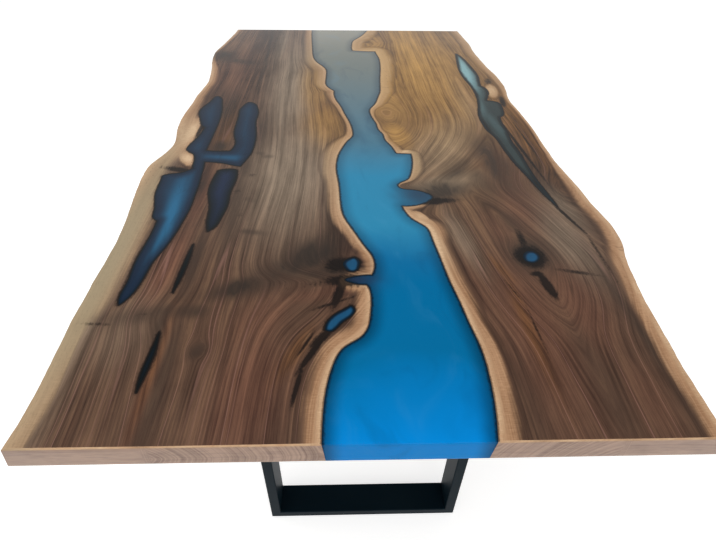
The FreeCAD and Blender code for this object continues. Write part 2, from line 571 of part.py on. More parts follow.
def make_leg_frame(end, side):
    """One leg frame: foot bar, two posts, plate, fasteners and levelling feet."""
    y = side * FRAME_CENTRE_Y
    make_foot_bar(end, y)
    make_plate(end, side)
    make_leg_fasteners(end, side)
    nuts = []
    for name, foot_side in SIDES:
        make_post(end, name, foot_side, y)
        x = foot_side * FOOT_X
        nuts.append(rivet_nut(x, y))
        export(end + "_" + name + "_foot_pad", [foot_pad(x, y)])
        export(end + "_" + name + "_foot_stem", [foot_stem(x, y)])
    export(end + "_foot_nuts", nuts)


os.makedirs("parts", exist_ok=True)
make_top()
for end, side in ENDS:
    make_stiffener(end, side)
    make_leg_frame(end, side)
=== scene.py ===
"""River table: the finished pieces of a walnut and resin dining table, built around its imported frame.

Lengths are in metres. +Z is up and +Y runs along the table from its front end to its rear end.
"""

import json
import math
from typing import NamedTuple

import bmesh
import bpy
import numpy as np
from mathutils import Matrix, Vector, noise
from mathutils.geometry import delaunay_2d_cdt
from mathutils.kdtree import KDTree

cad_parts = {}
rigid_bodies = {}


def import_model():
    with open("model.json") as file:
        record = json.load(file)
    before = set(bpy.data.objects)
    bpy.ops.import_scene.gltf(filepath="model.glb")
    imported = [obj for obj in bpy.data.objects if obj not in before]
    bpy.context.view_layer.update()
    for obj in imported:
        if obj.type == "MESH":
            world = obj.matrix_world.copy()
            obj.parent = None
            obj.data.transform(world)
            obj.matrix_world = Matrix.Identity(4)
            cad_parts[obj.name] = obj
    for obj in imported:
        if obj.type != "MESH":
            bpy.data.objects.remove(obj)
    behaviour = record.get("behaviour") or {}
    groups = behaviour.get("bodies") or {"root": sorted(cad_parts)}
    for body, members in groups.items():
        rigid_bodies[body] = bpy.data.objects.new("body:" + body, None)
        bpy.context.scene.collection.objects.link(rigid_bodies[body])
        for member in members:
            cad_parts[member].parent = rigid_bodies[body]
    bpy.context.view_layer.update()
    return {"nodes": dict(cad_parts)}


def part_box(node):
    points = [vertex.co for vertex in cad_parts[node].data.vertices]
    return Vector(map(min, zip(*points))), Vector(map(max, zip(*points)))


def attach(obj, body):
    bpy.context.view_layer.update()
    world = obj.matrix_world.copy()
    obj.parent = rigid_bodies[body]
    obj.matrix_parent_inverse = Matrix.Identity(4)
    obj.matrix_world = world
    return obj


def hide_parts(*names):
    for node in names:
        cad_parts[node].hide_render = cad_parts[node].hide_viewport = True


bl_info = {
    "name": "River Table",
    "version": (1, 0, 0),
    "blender": (4, 5, 0),
    "location": "View3D > Sidebar > River Table",
    "description": "Builds the finished pieces of a walnut and resin river table",
    "category": "Object",
}

# The scene starts empty, and the box of the CAD's pieces is noted before any piece is built
for leftover in list(bpy.data.objects):
    bpy.data.objects.remove(leftover)
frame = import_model()

# The river runs from end to end and right through, so its box gives the top's heights and its ends
RIVER_LOW, RIVER_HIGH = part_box("river_resin")
UNDERSIDE_Z = RIVER_LOW.z
TOP_Z = RIVER_HIGH.z
END_Y = RIVER_HIGH.y
TABLE_BODY = "table"
ENDS = ("front", "rear")

# How near two coordinates are to count as the same one, two points to be joined into one, and two places to
# be met as one by the sheets of triangles
SAME = 2e-6
JOINED = 1e-6
MESHING_SLACK = 1e-7

# How far the eased edges of the top reach, and where a slab's outline is sure to be its live edge
ARRIS = 0.0025
LIVE_EDGE_MIN_X = 0.30

# How far a cast's rim may be from its mould's for the two to count as one line, and the shortest piece that
# an edge of the rim is cut into
FIT = 0.0006
SHORTEST_CUT = 0.0001

# Places are added beside the rims of the top's pieces: how far apart they are, the rows they stand in, how near
# to a rim any added place may come, and the spacing of the points that this is measured from
RIM_PLACE_GAP = 0.0025
RIM_ROWS = (0.0015, 0.0040)
RIM_CLEARANCE = 0.0011
RIM_CLEARANCE_SPACING = 0.0005

# The half width up to which a mark is slender, and how far apart the places added along it are
SLENDER = 0.012
MARK_PLACE_GAP = 0.0035

# Strips that the live edges are cut into from the underside up, and the least angle that shows as an edge
STRIPS_UP = 6
SHARP_ANGLE = math.radians(35)

# How far from the table's ends the ripples of the live edges begin to fade
RIPPLE_FADE = 0.03

# How far from a natural edge the rings of the grain still follow it, and the least distance divided by
RING_FOLLOWING = 0.07
LEAST = 1e-4

# How far the stain round a filled hollow reaches, how strong it is, and how steeply it ends
HALO_REACH = 0.0045
HALO_STRENGTH = 0.85
HALO_STEEPNESS = 1.2

# Kept as the distance from a rim where no rim shows, on the walls and the underside
FAR_FROM_RIM = 0.01


def srgb(red, green, blue):
    """A colour picker's 0 to 255 values as the linear colour that Blender's sockets take."""
    linear = []
    for value in (red, green, blue):
        share = value / 255
        linear.append(share / 12.92 if share <= 0.04045 else ((share + 0.055) / 1.055) ** 2.4)
    return tuple(linear)


# ---- What the wood of each slab looks like, as places on the table top ----

class Bend(NamedTuple):
    """A place where the grain is drawn sideways, with its reach across, forwards and rearwards."""
    x: float
    y: float
    reach_x: float
    reach_front: float
    reach_rear: float
    pull: float


class Knot(NamedTuple):
    """A knot that the grain flows round."""
    x: float
    y: float
    radius: float
    stretch: float


class Smudge(NamedTuple):
    """A soft-edged patch, at an angle in degrees from the X axis."""
    x: float
    y: float
    half_length: float
    half_width: float
    angle: float
    strength: float


class Slab(NamedTuple):
    """The grain and the marks of one slab.

    The log sets its pattern apart from the other slab's. The widths are from the pith to either natural edge,
    and the pith and sapwood tables are of places along Y and of values there. The marks are dark for knots,
    cracks and bark, dusk for smoky stains and shaded bands, rosy and amber for tints of the wood, honey and ash
    for golden and greyish tints of the wood that towards the rear are partly painted reflection of the room's
    light, and cream for the palest sapwood.
    """
    log: float
    live_width: float
    river_width: float
    pith_x: list
    pith_depth: list
    live_sapwood: list
    river_sapwood: list
    bends: list
    knots: list
    marks: dict


LEFT_SLAB = Slab(
    log=0.0,
    live_width=0.165,
    river_width=0.27,
    pith_x=[(-1.0, -0.335), (-0.6, -0.345), (-0.2, -0.325), (0.2, -0.345), (0.6, -0.345), (1.0, -0.345)],
    pith_depth=[(-1.0, 0.030), (-0.8, 0.020), (-0.4, 0.012), (0.0, 0.02), (0.5, 0.03), (1.0, 0.04)],
    live_sapwood=[
        (-1.0, 0.034), (-0.85, 0.036), (-0.78, 0.038), (-0.73, 0.052), (-0.5, 0.062), (-0.3, 0.056),
        (-0.15, 0.062), (0.0, 0.070), (0.1, 0.046), (0.25, 0.030), (0.5, 0.026), (0.6, 0.012), (0.8, 0.014),
        (1.0, 0.020),
    ],
    river_sapwood=[
        (-1.0, 0.034), (-0.9, 0.035), (-0.8, 0.036), (-0.74, 0.034), (-0.68, 0.026), (-0.65, 0.012),
        (-0.61, 0.026), (-0.56, 0.026), (-0.48, 0.030), (-0.4, 0.034), (-0.3, 0.034), (-0.1, 0.040),
        (0.0, 0.018), (0.1, 0.014), (0.3, 0.030), (0.5, 0.045), (0.65, 0.036), (1.0, 0.034),
    ],
    bends=[Bend(-0.085, -0.660, 0.11, 0.13, 0.040, 0.080), Bend(-0.38, -0.745, 0.06, 0.05, 0.05, -0.020)],
    knots=[Knot(-0.290, -0.823, 0.012, 1.5)],
    marks={
        "dark": [
            Smudge(-0.040, -0.654, 0.048, 0.017, 2, 1.0), Smudge(-0.058, -0.690, 0.045, 0.010, 76, 1.0),
            Smudge(-0.058, -0.606, 0.030, 0.024, 20, 0.85), Smudge(-0.100, -0.662, 0.070, 0.012, 14, 0.36),
            Smudge(-0.100, -0.830, 0.055, 0.0060, 62, 1.0), Smudge(-0.086, -0.800, 0.030, 0.0090, 50, 0.9),
            Smudge(-0.122, -0.900, 0.045, 0.0050, 80, 0.9), Smudge(-0.112, -0.812, 0.038, 0.0030, 64, 0.7),
            Smudge(-0.066, -0.715, 0.050, 0.0050, 24, 0.6), Smudge(-0.275, -0.255, 0.014, 0.011, 0, 0.36),
            Smudge(-0.300, -0.331, 0.016, 0.012, 50, 0.36), Smudge(-0.282, -0.432, 0.017, 0.011, 30, 0.30),
            Smudge(-0.462, -0.228, 0.050, 0.013, -16, 0.8), Smudge(-0.420, -0.195, 0.014, 0.008, 0, 0.8),
            Smudge(-0.455, 0.050, 0.110, 0.007, 86, 0.9), Smudge(-0.478, -0.763, 0.036, 0.0050, -3, 0.45),
            Smudge(-0.400, -0.740, 0.030, 0.0050, 8, 0.30),
        ],
        "dusk": [
            Smudge(-0.277, -0.137, 0.022, 0.013, -25, 0.65), Smudge(-0.248, -0.157, 0.016, 0.010, 0, 0.50),
            Smudge(-0.272, -0.365, 0.018, 0.010, -30, 0.50), Smudge(-0.250, -0.495, 0.032, 0.010, -10, 0.60),
            Smudge(-0.290, -0.826, 0.020, 0.015, 60, 0.60), Smudge(-0.366, -0.780, 0.060, 0.012, 100, 0.75),
            Smudge(-0.120, -0.582, 0.085, 0.050, 48, 1.0), Smudge(-0.155, -0.615, 0.085, 0.040, 30, 0.95),
            Smudge(-0.230, -0.668, 0.075, 0.030, 20, 0.95), Smudge(-0.085, -0.628, 0.090, 0.024, 8, 0.80),
            Smudge(-0.385, -0.740, 0.090, 0.022, 10, 0.60), Smudge(-0.322, -0.733, 0.032, 0.020, 0, 0.70),
            Smudge(-0.345, -0.600, 0.120, 0.015, 90, 0.60), Smudge(-0.334, -0.900, 0.150, 0.015, 90, 0.55),
            Smudge(-0.298, -0.370, 0.180, 0.020, 91, 0.65), Smudge(-0.285, -0.050, 0.160, 0.026, 87, 0.60),
            Smudge(-0.390, 0.080, 0.200, 0.030, 90, 0.55), Smudge(-0.345, 0.880, 0.140, 0.010, 93, 0.80),
            Smudge(-0.338, 0.680, 0.150, 0.007, 89, 0.70), Smudge(-0.332, 0.470, 0.130, 0.007, 87, 0.60),
            Smudge(-0.510, 0.650, 0.085, 0.058, -42, 1.0), Smudge(-0.430, 0.590, 0.075, 0.030, -25, 0.80),
            Smudge(-0.400, 0.150, 0.120, 0.040, 90, 0.70), Smudge(-0.450, 0.240, 0.100, 0.040, 90, 0.50),
            Smudge(-0.298, -0.200, 0.085, 0.020, 92, 0.85), Smudge(-0.385, -0.105, 0.055, 0.032, 90, 0.80),
            Smudge(-0.392, -0.290, 0.110, 0.016, 92, 0.85),
        ],
        "rosy": [
            Smudge(-0.195, -0.920, 0.150, 0.060, 88, 0.9), Smudge(-0.200, -0.770, 0.100, 0.050, 75, 0.6),
            Smudge(-0.353, -0.880, 0.120, 0.010, 90, 1.0), Smudge(-0.392, -0.600, 0.130, 0.022, 85, 1.0),
            Smudge(-0.385, -0.330, 0.150, 0.018, 91, 1.0), Smudge(-0.440, 0.440, 0.300, 0.085, 90, 0.6),
            Smudge(-0.090, -0.690, 0.070, 0.020, 18, 0.6),
        ],
        "amber": [
            Smudge(-0.110, 0.140, 0.150, 0.050, 96, 0.45), Smudge(-0.385, 0.020, 0.170, 0.024, 90, 1.0),
            Smudge(-0.353, -0.860, 0.110, 0.008, 90, 0.5), Smudge(-0.130, -0.830, 0.060, 0.014, 66, 0.6),
        ],
        "cream": [
            Smudge(-0.483, -0.030, 0.150, 0.032, 90, 1.0), Smudge(-0.458, -0.166, 0.056, 0.024, 118, 1.0),
            Smudge(-0.112, -0.800, 0.040, 0.0040, 64, 0.5), Smudge(-0.132, -0.845, 0.040, 0.0040, 68, 0.4),
        ],
        "honey": [
            Smudge(-0.095, 0.050, 0.160, 0.070, 96, 0.55), Smudge(-0.145, 0.330, 0.260, 0.045, 94, 0.55),
        ],
        "ash": [
            Smudge(-0.185, -0.220, 0.300, 0.110, 90, 1.0), Smudge(-0.220, 0.350, 0.520, 0.080, 92, 1.0),
            Smudge(-0.508, -0.560, 0.520, 0.038, 90, 1.0), Smudge(-0.430, -0.780, 0.090, 0.060, 90, 0.30),
            Smudge(-0.290, 0.800, 0.300, 0.030, 90, 0.8),
        ],
    },
)

RIGHT_SLAB = Slab(
    log=4.0,
    live_width=0.150,
    river_width=0.20,
    pith_x=[
        (-1.0, 0.360), (-0.8, 0.353), (-0.7, 0.348), (-0.584, 0.334), (-0.45, 0.302), (-0.32, 0.280),
        (-0.2, 0.318), (-0.03, 0.368), (0.3, 0.360), (1.0, 0.330),
    ],
    pith_depth=[
        (-1.0, 0.074), (-0.90, 0.068), (-0.80, 0.058), (-0.70, 0.022), (-0.64, 0.008), (-0.584, 0.004),
        (-0.50, 0.010), (-0.42, 0.020), (-0.315, 0.046), (-0.2, 0.062), (-0.03, 0.085), (0.4, 0.100),
        (1.0, 0.110),
    ],
    live_sapwood=[
        (-1.0, 0.030), (-0.7, 0.032), (-0.5, 0.036), (-0.35, 0.034), (-0.2, 0.017), (0.1, 0.010),
        (0.25, 0.014), (0.5, 0.030), (1.0, 0.036),
    ],
    river_sapwood=[
        (-1.0, 0.036), (-0.85, 0.034), (-0.7, 0.034), (-0.55, 0.033), (-0.46, 0.040), (-0.41, 0.016),
        (-0.36, 0.002), (-0.31, 0.004), (-0.26, 0.022), (-0.13, 0.022), (0.0, 0.012), (0.1, 0.010),
        (0.2, 0.030), (0.5, 0.050), (1.0, 0.050),
    ],
    bends=[Bend(0.150, -0.330, 0.11, 0.06, 0.16, -0.060)],
    knots=[Knot(0.334, -0.584, 0.026, 1.5)],
    marks={
        "dark": [
            Smudge(0.334, -0.584, 0.036, 0.032, 90, 1.0), Smudge(0.331, -0.525, 0.045, 0.010, 90, 0.60),
            Smudge(0.341, -0.672, 0.040, 0.0105, 98, 1.0), Smudge(0.330, -0.638, 0.014, 0.009, 0, 0.85),
            Smudge(0.412, -0.634, 0.050, 0.007, -14, 0.60), Smudge(0.150, -0.378, 0.070, 0.014, 6, 0.85),
            Smudge(0.458, -0.440, 0.080, 0.0055, 106, 0.75), Smudge(0.479, -0.580, 0.090, 0.0050, 91, 0.50),
            Smudge(0.463, 0.395, 0.035, 0.016, 80, 0.55), Smudge(0.470, 0.215, 0.050, 0.010, 84, 0.80),
            Smudge(0.441, -0.100, 0.260, 0.0055, 95, 0.80), Smudge(0.470, -0.060, 0.180, 0.0045, 93, 0.60),
            Smudge(0.270, -0.680, 0.045, 0.0030, 108, 0.45), Smudge(0.287, -0.790, 0.080, 0.0030, 93, 0.45),
        ],
        "dusk": [
            Smudge(0.334, -0.580, 0.060, 0.044, 90, 1.0), Smudge(0.350, -0.190, 0.190, 0.055, 98, 0.75),
            Smudge(0.430, -0.150, 0.200, 0.020, 97, 0.60), Smudge(0.165, -0.335, 0.105, 0.045, 18, 1.0),
            Smudge(0.245, -0.230, 0.085, 0.032, 55, 0.75), Smudge(0.357, -0.900, 0.150, 0.022, 91, 0.30),
            Smudge(0.234, -0.920, 0.130, 0.016, 90, 0.30), Smudge(0.468, -0.800, 0.230, 0.010, 92, 0.60),
            Smudge(0.330, -0.460, 0.050, 0.030, 100, 0.40), Smudge(0.300, -0.290, 0.100, 0.040, 100, 0.60),
        ],
        "rosy": [
            Smudge(0.350, -0.190, 0.180, 0.060, 100, 1.0), Smudge(0.365, -0.380, 0.120, 0.055, 95, 0.9),
            Smudge(0.290, -0.480, 0.090, 0.030, 95, 0.6), Smudge(0.385, -0.720, 0.120, 0.050, 92, 0.8),
            Smudge(0.280, -0.780, 0.220, 0.070, 92, 0.8), Smudge(0.210, -0.680, 0.120, 0.020, 98, 0.5),
            Smudge(0.420, -0.930, 0.090, 0.030, 90, 0.5),
        ],
        "amber": [
            Smudge(0.472, 0.010, 0.310, 0.046, 93, 1.0), Smudge(0.275, -0.780, 0.130, 0.012, 93, 0.6),
            Smudge(0.262, -0.620, 0.050, 0.010, 112, 0.5),
        ],
        "cream": [
            Smudge(0.455, 0.305, 0.070, 0.024, 84, 1.0), Smudge(0.147, -0.520, 0.100, 0.014, -76, 0.8),
            Smudge(0.118, -0.130, 0.026, 0.012, 12, 1.0), Smudge(0.125, -0.438, 0.034, 0.016, -50, 0.9),
        ],
        "honey": [
            Smudge(0.200, 0.620, 0.680, 0.270, 90, 1.0), Smudge(0.100, 0.700, 0.380, 0.110, 84, 1.0),
            Smudge(0.110, -0.020, 0.120, 0.050, 100, 0.7),
        ],
        "ash": [
            Smudge(0.205, -0.520, 0.110, 0.022, 100, 0.6), Smudge(0.235, -0.080, 0.220, 0.085, 68, 1.0),
            Smudge(0.190, -0.300, 0.110, 0.050, 30, 1.0), Smudge(0.430, -0.520, 0.130, 0.045, 95, 0.7),
            Smudge(0.350, 0.220, 0.250, 0.040, 92, 0.8), Smudge(0.460, -0.400, 0.110, 0.030, 100, 0.7),
        ],
    },
)

# Where the river's resin is smoky, and where the branched cast and the channel are clear and bright
RIVER_SMOKE = [
    Smudge(0.132, -0.352, 0.056, 0.045, 0, 0.9), Smudge(-0.038, -0.652, 0.060, 0.022, 0, 1.0),
    Smudge(-0.005, -0.650, 0.045, 0.035, 0, 0.35),
]
BRANCHED_GLOW = [
    Smudge(-0.427, -0.500, 0.230, 0.019, 94, 1.0), Smudge(-0.424, -0.340, 0.120, 0.016, 92, 0.45),
    Smudge(-0.345, -0.165, 0.060, 0.016, -6, 0.40),
]
CHANNEL_GLOW = [
    Smudge(0.398, 0.500, 0.190, 0.026, 90, 1.0), Smudge(0.388, 0.220, 0.120, 0.016, 90, 0.24),
    Smudge(0.405, 0.050, 0.120, 0.014, 97, 0.10),
]


# ---- Sizes and colours that a user may change ----

def colour(name, description, default):
    """A colour property."""
    return bpy.props.FloatVectorProperty(name=name, description=description, default=default, size=3,
                                         subtype="COLOR", min=0.0, max=1.0)


def number(name, description, default, **details):
    """A number property."""
    return bpy.props.FloatProperty(name=name, description=description, default=default, **details)


def length(name, description, default):
    """A length property, in metres."""
    return number(name, description, default, min=0.0, subtype="DISTANCE", unit="LENGTH", precision=4)


def angle(name, description, default):
    """An angle property, in radians."""
    return number(name, description, default, subtype="ANGLE", unit="ROTATION")


def power(name, description, default):
    """A lamp's power, in watts."""
    return number(name, description, default, min=0.0, subtype="POWER", unit="POWER")


class WalnutSettings(bpy.types.PropertyGroup):
    """The wood of the slabs."""
    top_face_size: length("Top face size", "Size of the small faces that the top is made of", 0.005)
    under_face_size: length("Underside face size", "Size of the faces of the underside", 0.014)
    ripple: length("Live edge ripple", "How deep the ripples of the live edges are", 0.0025)
    deep: colour("Deep heartwood", "The darkest bands of the heartwood", srgb(58, 43, 36))
    brown: colour("Heartwood", "The main colour of the heartwood", srgb(97, 73, 59))
    light: colour("Light heartwood", "The lightest bands of the heartwood", srgb(136, 104, 80))
    rosy: colour("Rosy heartwood", "The reddish parts of the slabs", srgb(142, 98, 78))
    rosy_deep: colour("Rosy heartwood, deep", "The dark bands of the reddish parts", srgb(76, 49, 41))
    vein: colour("Pale veins", "The thin pinkish lines of the heartwood", srgb(168, 124, 110))
    sapwood: colour("Sapwood", "The pale wood along the natural edges", srgb(200, 158, 122))
    sapwood_tan: colour("Tan sapwood", "The darker bands of the pale wood", srgb(160, 120, 88))
    # Where the greyish and golden tints lie towards the rear they are partly painted reflection of the room's
    # light, paler on the left slab and warm on the right, and partly the wood's own
    sapwood_ash_and_reflection: colour("Greyish sapwood", "The pale wood where it is greyish", srgb(160, 151, 124))
    sapwood_gold_and_reflection: colour("Golden sapwood", "The pale wood where it is golden", srgb(226, 184, 118))
    cream: colour("Cream sapwood", "The palest wood, at the lips of the natural edges", srgb(228, 194, 156))
    bark: colour("Bark", "What is left of the bark in the furrows of the live edges", srgb(92, 62, 44))
    black: colour("Dark marks", "Knots, cracks and bark pockets", srgb(30, 26, 25))
    dusk: colour("Dusky marks", "The smoky stains and the shaded bands", srgb(52, 46, 42))
    amber: colour("Amber tint", "The deep orange parts of the slabs", srgb(150, 100, 56))
    amber_deep: colour("Amber tint, deep", "The dark bands of the deep orange parts", srgb(58, 38, 24))
    # The golden and greyish tints are the wood's own, and towards the rear partly painted reflection of the
    # room's light
    honey: colour("Honey tint", "The golden parts of the slabs", srgb(228, 174, 90))
    honey_and_reflection_deep: colour("Honey tint, deep", "The dark bands of the golden parts", srgb(126, 87, 38))
    ash: colour("Ash tint", "The greyish parts of the slabs", srgb(180, 161, 139))
    ash_and_reflection_deep: colour("Ash tint, deep", "The dark bands of the greyish parts", srgb(112, 97, 81))
    # Painted light: the cut ends are tinted lighter than the wood is, as if lit from the front; their dark rings
    # are the wood's own
    lit_end_grain: colour("End grain", "The pinkish tint of the cut ends", srgb(128, 76, 58))
    lit_end_sapwood: colour("End grain, sapwood", "The pale wood of the cut ends", srgb(206, 178, 158))
    end_rings: colour("End grain, rings", "The dark rings of the cut ends", srgb(96, 62, 50))


class ResinSettings(bpy.types.PropertyGroup):
    """The cast resin of the river and of the fills."""
    face_size: length("Face size", "Size of the small faces that the resin's top is made of", 0.008)
    # The front colour is the river's blue lit up by a painted glare; the colours from the middle to the rear end
    # are its blue made paler and greyer by painted reflection of the room
    river_front_glare: colour("River, front", "The bright blue at the river's front end", srgb(0, 140, 222))
    river_body: colour("River", "The river's main blue", srgb(0, 112, 165))
    river_middle_reflection: colour("River, middle", "The lighter blue of the river's middle", srgb(36, 140, 182))
    river_waist_reflection: colour("River, past the middle", "The dull blue past the river's middle", srgb(72, 124, 148))
    river_rear_reflection: colour("River, towards the rear", "The grey blue towards the rear", srgb(124, 136, 134))
    river_far_reflection: colour("River, rear", "The greyer blue at the river's rear end", srgb(160, 158, 144))
    river_light: colour("River, light swirls", "The lighter swirls of the pour", srgb(90, 170, 215))
    river_dark: colour("River, dark swirls", "The darker swirls of the pour", srgb(0, 66, 108))
    # Painted shade of the wood seen through the resin: a soft band along the river's banks
    river_bank: colour("River, banks", "The shaded blue along the wood", srgb(0, 52, 80))
    flake: colour("Pearl flakes", "The flakes of mica in the river", srgb(120, 190, 220))
    # Painted shade: the dark line at the rim of the river and of the blue casts, where the wood's edge shades
    # the resin; the casts also draw their dark wisps with it
    edge: colour("Resin edge", "The dark line where resin meets wood", srgb(10, 30, 42))
    smoke: colour("Smoky river", "The dark resin in the river's inlet and notch", srgb(38, 48, 70))
    # Each cast below is deep near its rim, which is painted shade of the wood round it, and bright further in;
    # its edge colour draws the painted shade line at the rim and also its own dark wisps
    inlay_deep: colour("Inlay, deep", "The deep blue of the branched cast", srgb(24, 38, 58))
    inlay_bright: colour("Inlay, bright", "The teal blue of the branched cast", srgb(40, 104, 142))
    channel_deep: colour("Channel, deep", "The brownish deep resin of the long channel", srgb(28, 26, 22))
    channel_bright: colour("Channel, bright", "The pale resin at the channel's rear", srgb(150, 194, 200))
    channel_edge: colour("Channel, edge", "The dark line round the long channel", srgb(26, 40, 48))
    dark: colour("Dark resin", "The smoky resin of the pocket and the cracks", srgb(18, 27, 35))
    dark_bright: colour("Dark resin, bright", "The bluish parts of the smoky resin", srgb(42, 58, 92))
    dark_edge: colour("Dark resin, edge", "The dark line round the smoky resin", srgb(22, 26, 26))
    knot_blue: colour("Knot blue", "The bright middle of the filled knots", srgb(36, 106, 150))


class SteelSettings(bpy.types.PropertyGroup):
    """The leg frames and the fasteners."""
    powder_coat: colour("Powder coat", "The satin black of the frames and stiffeners", srgb(14, 29, 37))
    powder_haze: colour("Powder coat, haze", "The paler clouds of the powder coat", srgb(24, 38, 45))
    zinc: colour("Zinc", "The plated bolts, washers, screws, nuts and stems", srgb(176, 180, 184))
    brass: colour("Brass", "The inserts in the wood", srgb(190, 158, 92))
    tarnish: colour("Tarnish", "The dull clouds on the plated and turned metal", srgb(118, 116, 108))
    plastic: colour("Foot plastic", "The pads under the feet", srgb(24, 24, 25))
    scuff: colour("Scuffs", "The worn places of the foot plastic", srgb(60, 60, 60))


class StudioSettings(bpy.types.PropertyGroup):
    """Camera, lamps and floor."""
    lens: number("Lens", "Focal length on a 36 mm wide sensor", 25.6, min=1.0, unit="CAMERA")
    camera_place: bpy.props.FloatVectorProperty(name="Camera place", description="Where the camera stands",
                                                default=(-0.0483, -1.3844, 1.4071), subtype="TRANSLATION",
                                                unit="LENGTH")
    pitch: angle("Pitch", "How far the camera looks down", 0.7057)
    yaw: angle("Yaw", "How far the camera looks to the right", 0.0369)
    roll: angle("Roll", "How far the camera leans to the left", 0.0177)
    floor: colour("Floor", "The pale floor", srgb(236, 236, 234))
    floor_cloud: colour("Floor clouds", "The faint clouds of the floor", (0.86, 0.86, 0.85))
    floor_lift: number("Floor lift", "How much the floor glows where it is seen", 0.68, min=0.0)
    soft_light: number("Soft light", "Strength of the light from all round", 0.40, min=0.0)
    key_light: power("Key light", "Power of the large lamp overhead", 55.0)
    front_light: power("Front light", "Power of the lamp by the camera", 22.0)


class RiverTableSettings(bpy.types.PropertyGroup):
    """Everything that the operators read."""
    walnut: bpy.props.PointerProperty(type=WalnutSettings)
    resin: bpy.props.PointerProperty(type=ResinSettings)
    steel: bpy.props.PointerProperty(type=SteelSettings)
    studio: bpy.props.PointerProperty(type=StudioSettings)


# ---- Materials ----

# Sockets of the Mix node when it mixes colours
MIX_FACTOR, MIX_A, MIX_B, MIX_RESULT = 0, 6, 7, 2


class Flow:
    """A node's output. Arithmetic on it adds Math nodes."""

    def __init__(self, paint, socket):
        self.paint = paint
        self.socket = socket

    def maths(self, operation, *values):
        return self.paint.node("ShaderNodeMath", {"operation": operation}, dict(enumerate(values)))

    def __add__(self, other):
        return self.maths("ADD", self, other)

    def __sub__(self, other):
        return self.maths("SUBTRACT", self, other)

    def __rsub__(self, other):
        return self.maths("SUBTRACT", other, self)

    def __mul__(self, other):
        return self.maths("MULTIPLY", self, other)

    def __truediv__(self, other):
        return self.maths("DIVIDE", self, other)

    def __pow__(self, other):
        return self.maths("POWER", self, other)

    def __abs__(self):
        return self.maths("ABSOLUTE", self)

    # A sum and a product are the same either way round
    __radd__ = __add__
    __rmul__ = __mul__

    def clamped(self):
        """Kept between 0 and 1."""
        return self.paint.node("ShaderNodeClamp", None, {"Value": self})

    def rise(self, low, high):
        """A smooth step: 0 up to low, 1 from high on. With low above high it falls."""
        return self.paint.node("ShaderNodeMapRange", {"interpolation_type": "SMOOTHSTEP"},
                               {"Value": self, "From Min": low, "From Max": high})


class Paint:
    """The nodes of one material, or of the world."""

    def __init__(self, owner):
        owner.use_nodes = True
        self.tree = owner.node_tree
        self.tree.nodes.clear()

    def node(self, kind, settings=None, inputs=None, output=0):
        """Add a node, set it up, then feed its sockets. Returns one of its outputs, if it has any."""
        node = self.tree.nodes.new(kind)
        for key, value in (settings or {}).items():
            if key == "stops":
                ramp = node.color_ramp
                while len(ramp.elements) < len(value):
                    ramp.elements.new(0.5)
                for element, (position, stop_colour) in zip(ramp.elements, value):
                    element.position = position
                    element.color = (*stop_colour, 1.0)
            else:
                setattr(node, key, value)
        for key, value in (inputs or {}).items():
            if isinstance(value, Flow):
                self.tree.links.new(value.socket, node.inputs[key])
            elif node.inputs[key].type == "RGBA":
                node.inputs[key].default_value = (*tuple(value)[:3], 1.0)
            else:
                node.inputs[key].default_value = value
        return Flow(self, node.outputs[output]) if node.outputs else None

    def numbers(self, *names):
        """Numbers kept on the mesh's points."""
        return [self.node("ShaderNodeAttribute", {"attribute_name": name}, output="Fac") for name in names]

    def place(self):
        """Where a point of the object is: x, y and z, in metres."""
        spot = self.node("ShaderNodeTexCoord", output="Object")
        return tuple(self.node("ShaderNodeSeparateXYZ", None, {0: spot}, axis) for axis in "XYZ")

    def vector(self, x, y, z):
        """Three numbers as one vector."""
        return self.node("ShaderNodeCombineXYZ", None, {"X": x, "Y": y, "Z": z})

    def noise(self, where, detail=2.0, roughness=0.5, distortion=0.0):
        """Soft noise around 0.5. Its features are about one unit of the three numbers across."""
        return self.node("ShaderNodeTexNoise", None,
                         {"Vector": self.vector(*where), "Scale": 1.0, "Detail": detail,
                          "Roughness": roughness, "Distortion": distortion})

    def swing(self, where, detail=2.0, roughness=0.5, distortion=0.0):
        """The same noise, around 0."""
        return self.noise(where, detail, roughness, distortion) - 0.5

    def cells(self, where):
        """Distance to the nearest of many scattered points, about one unit apart."""
        return self.node("ShaderNodeTexVoronoi", None, {"Vector": self.vector(*where), "Scale": 1.0}, "Distance")

    def mix(self, factor, first, second):
        """Two colours mixed."""
        return self.node("ShaderNodeMix", {"data_type": "RGBA"},
                         {MIX_FACTOR: factor, MIX_A: first, MIX_B: second}, MIX_RESULT)

    def ramp(self, value, stops):
        """A colour from a row of colours."""
        return self.node("ShaderNodeValToRGB", {"stops": stops}, {"Fac": value})

    def bump(self, height, depth, strength):
        """A normal from a height between 0 and 1, for a relief of a given depth."""
        return self.node("ShaderNodeBump", None, {"Height": height, "Distance": depth, "Strength": strength})

    def surface(self, sockets):
        """The material's shader."""
        shader = self.node("ShaderNodeBsdfPrincipled", None, sockets)
        self.node("ShaderNodeOutputMaterial", None, {"Surface": shader})


def new_paint(name):
    """A new material and its nodes."""
    material = bpy.data.materials.new(name)
    return material, Paint(material)


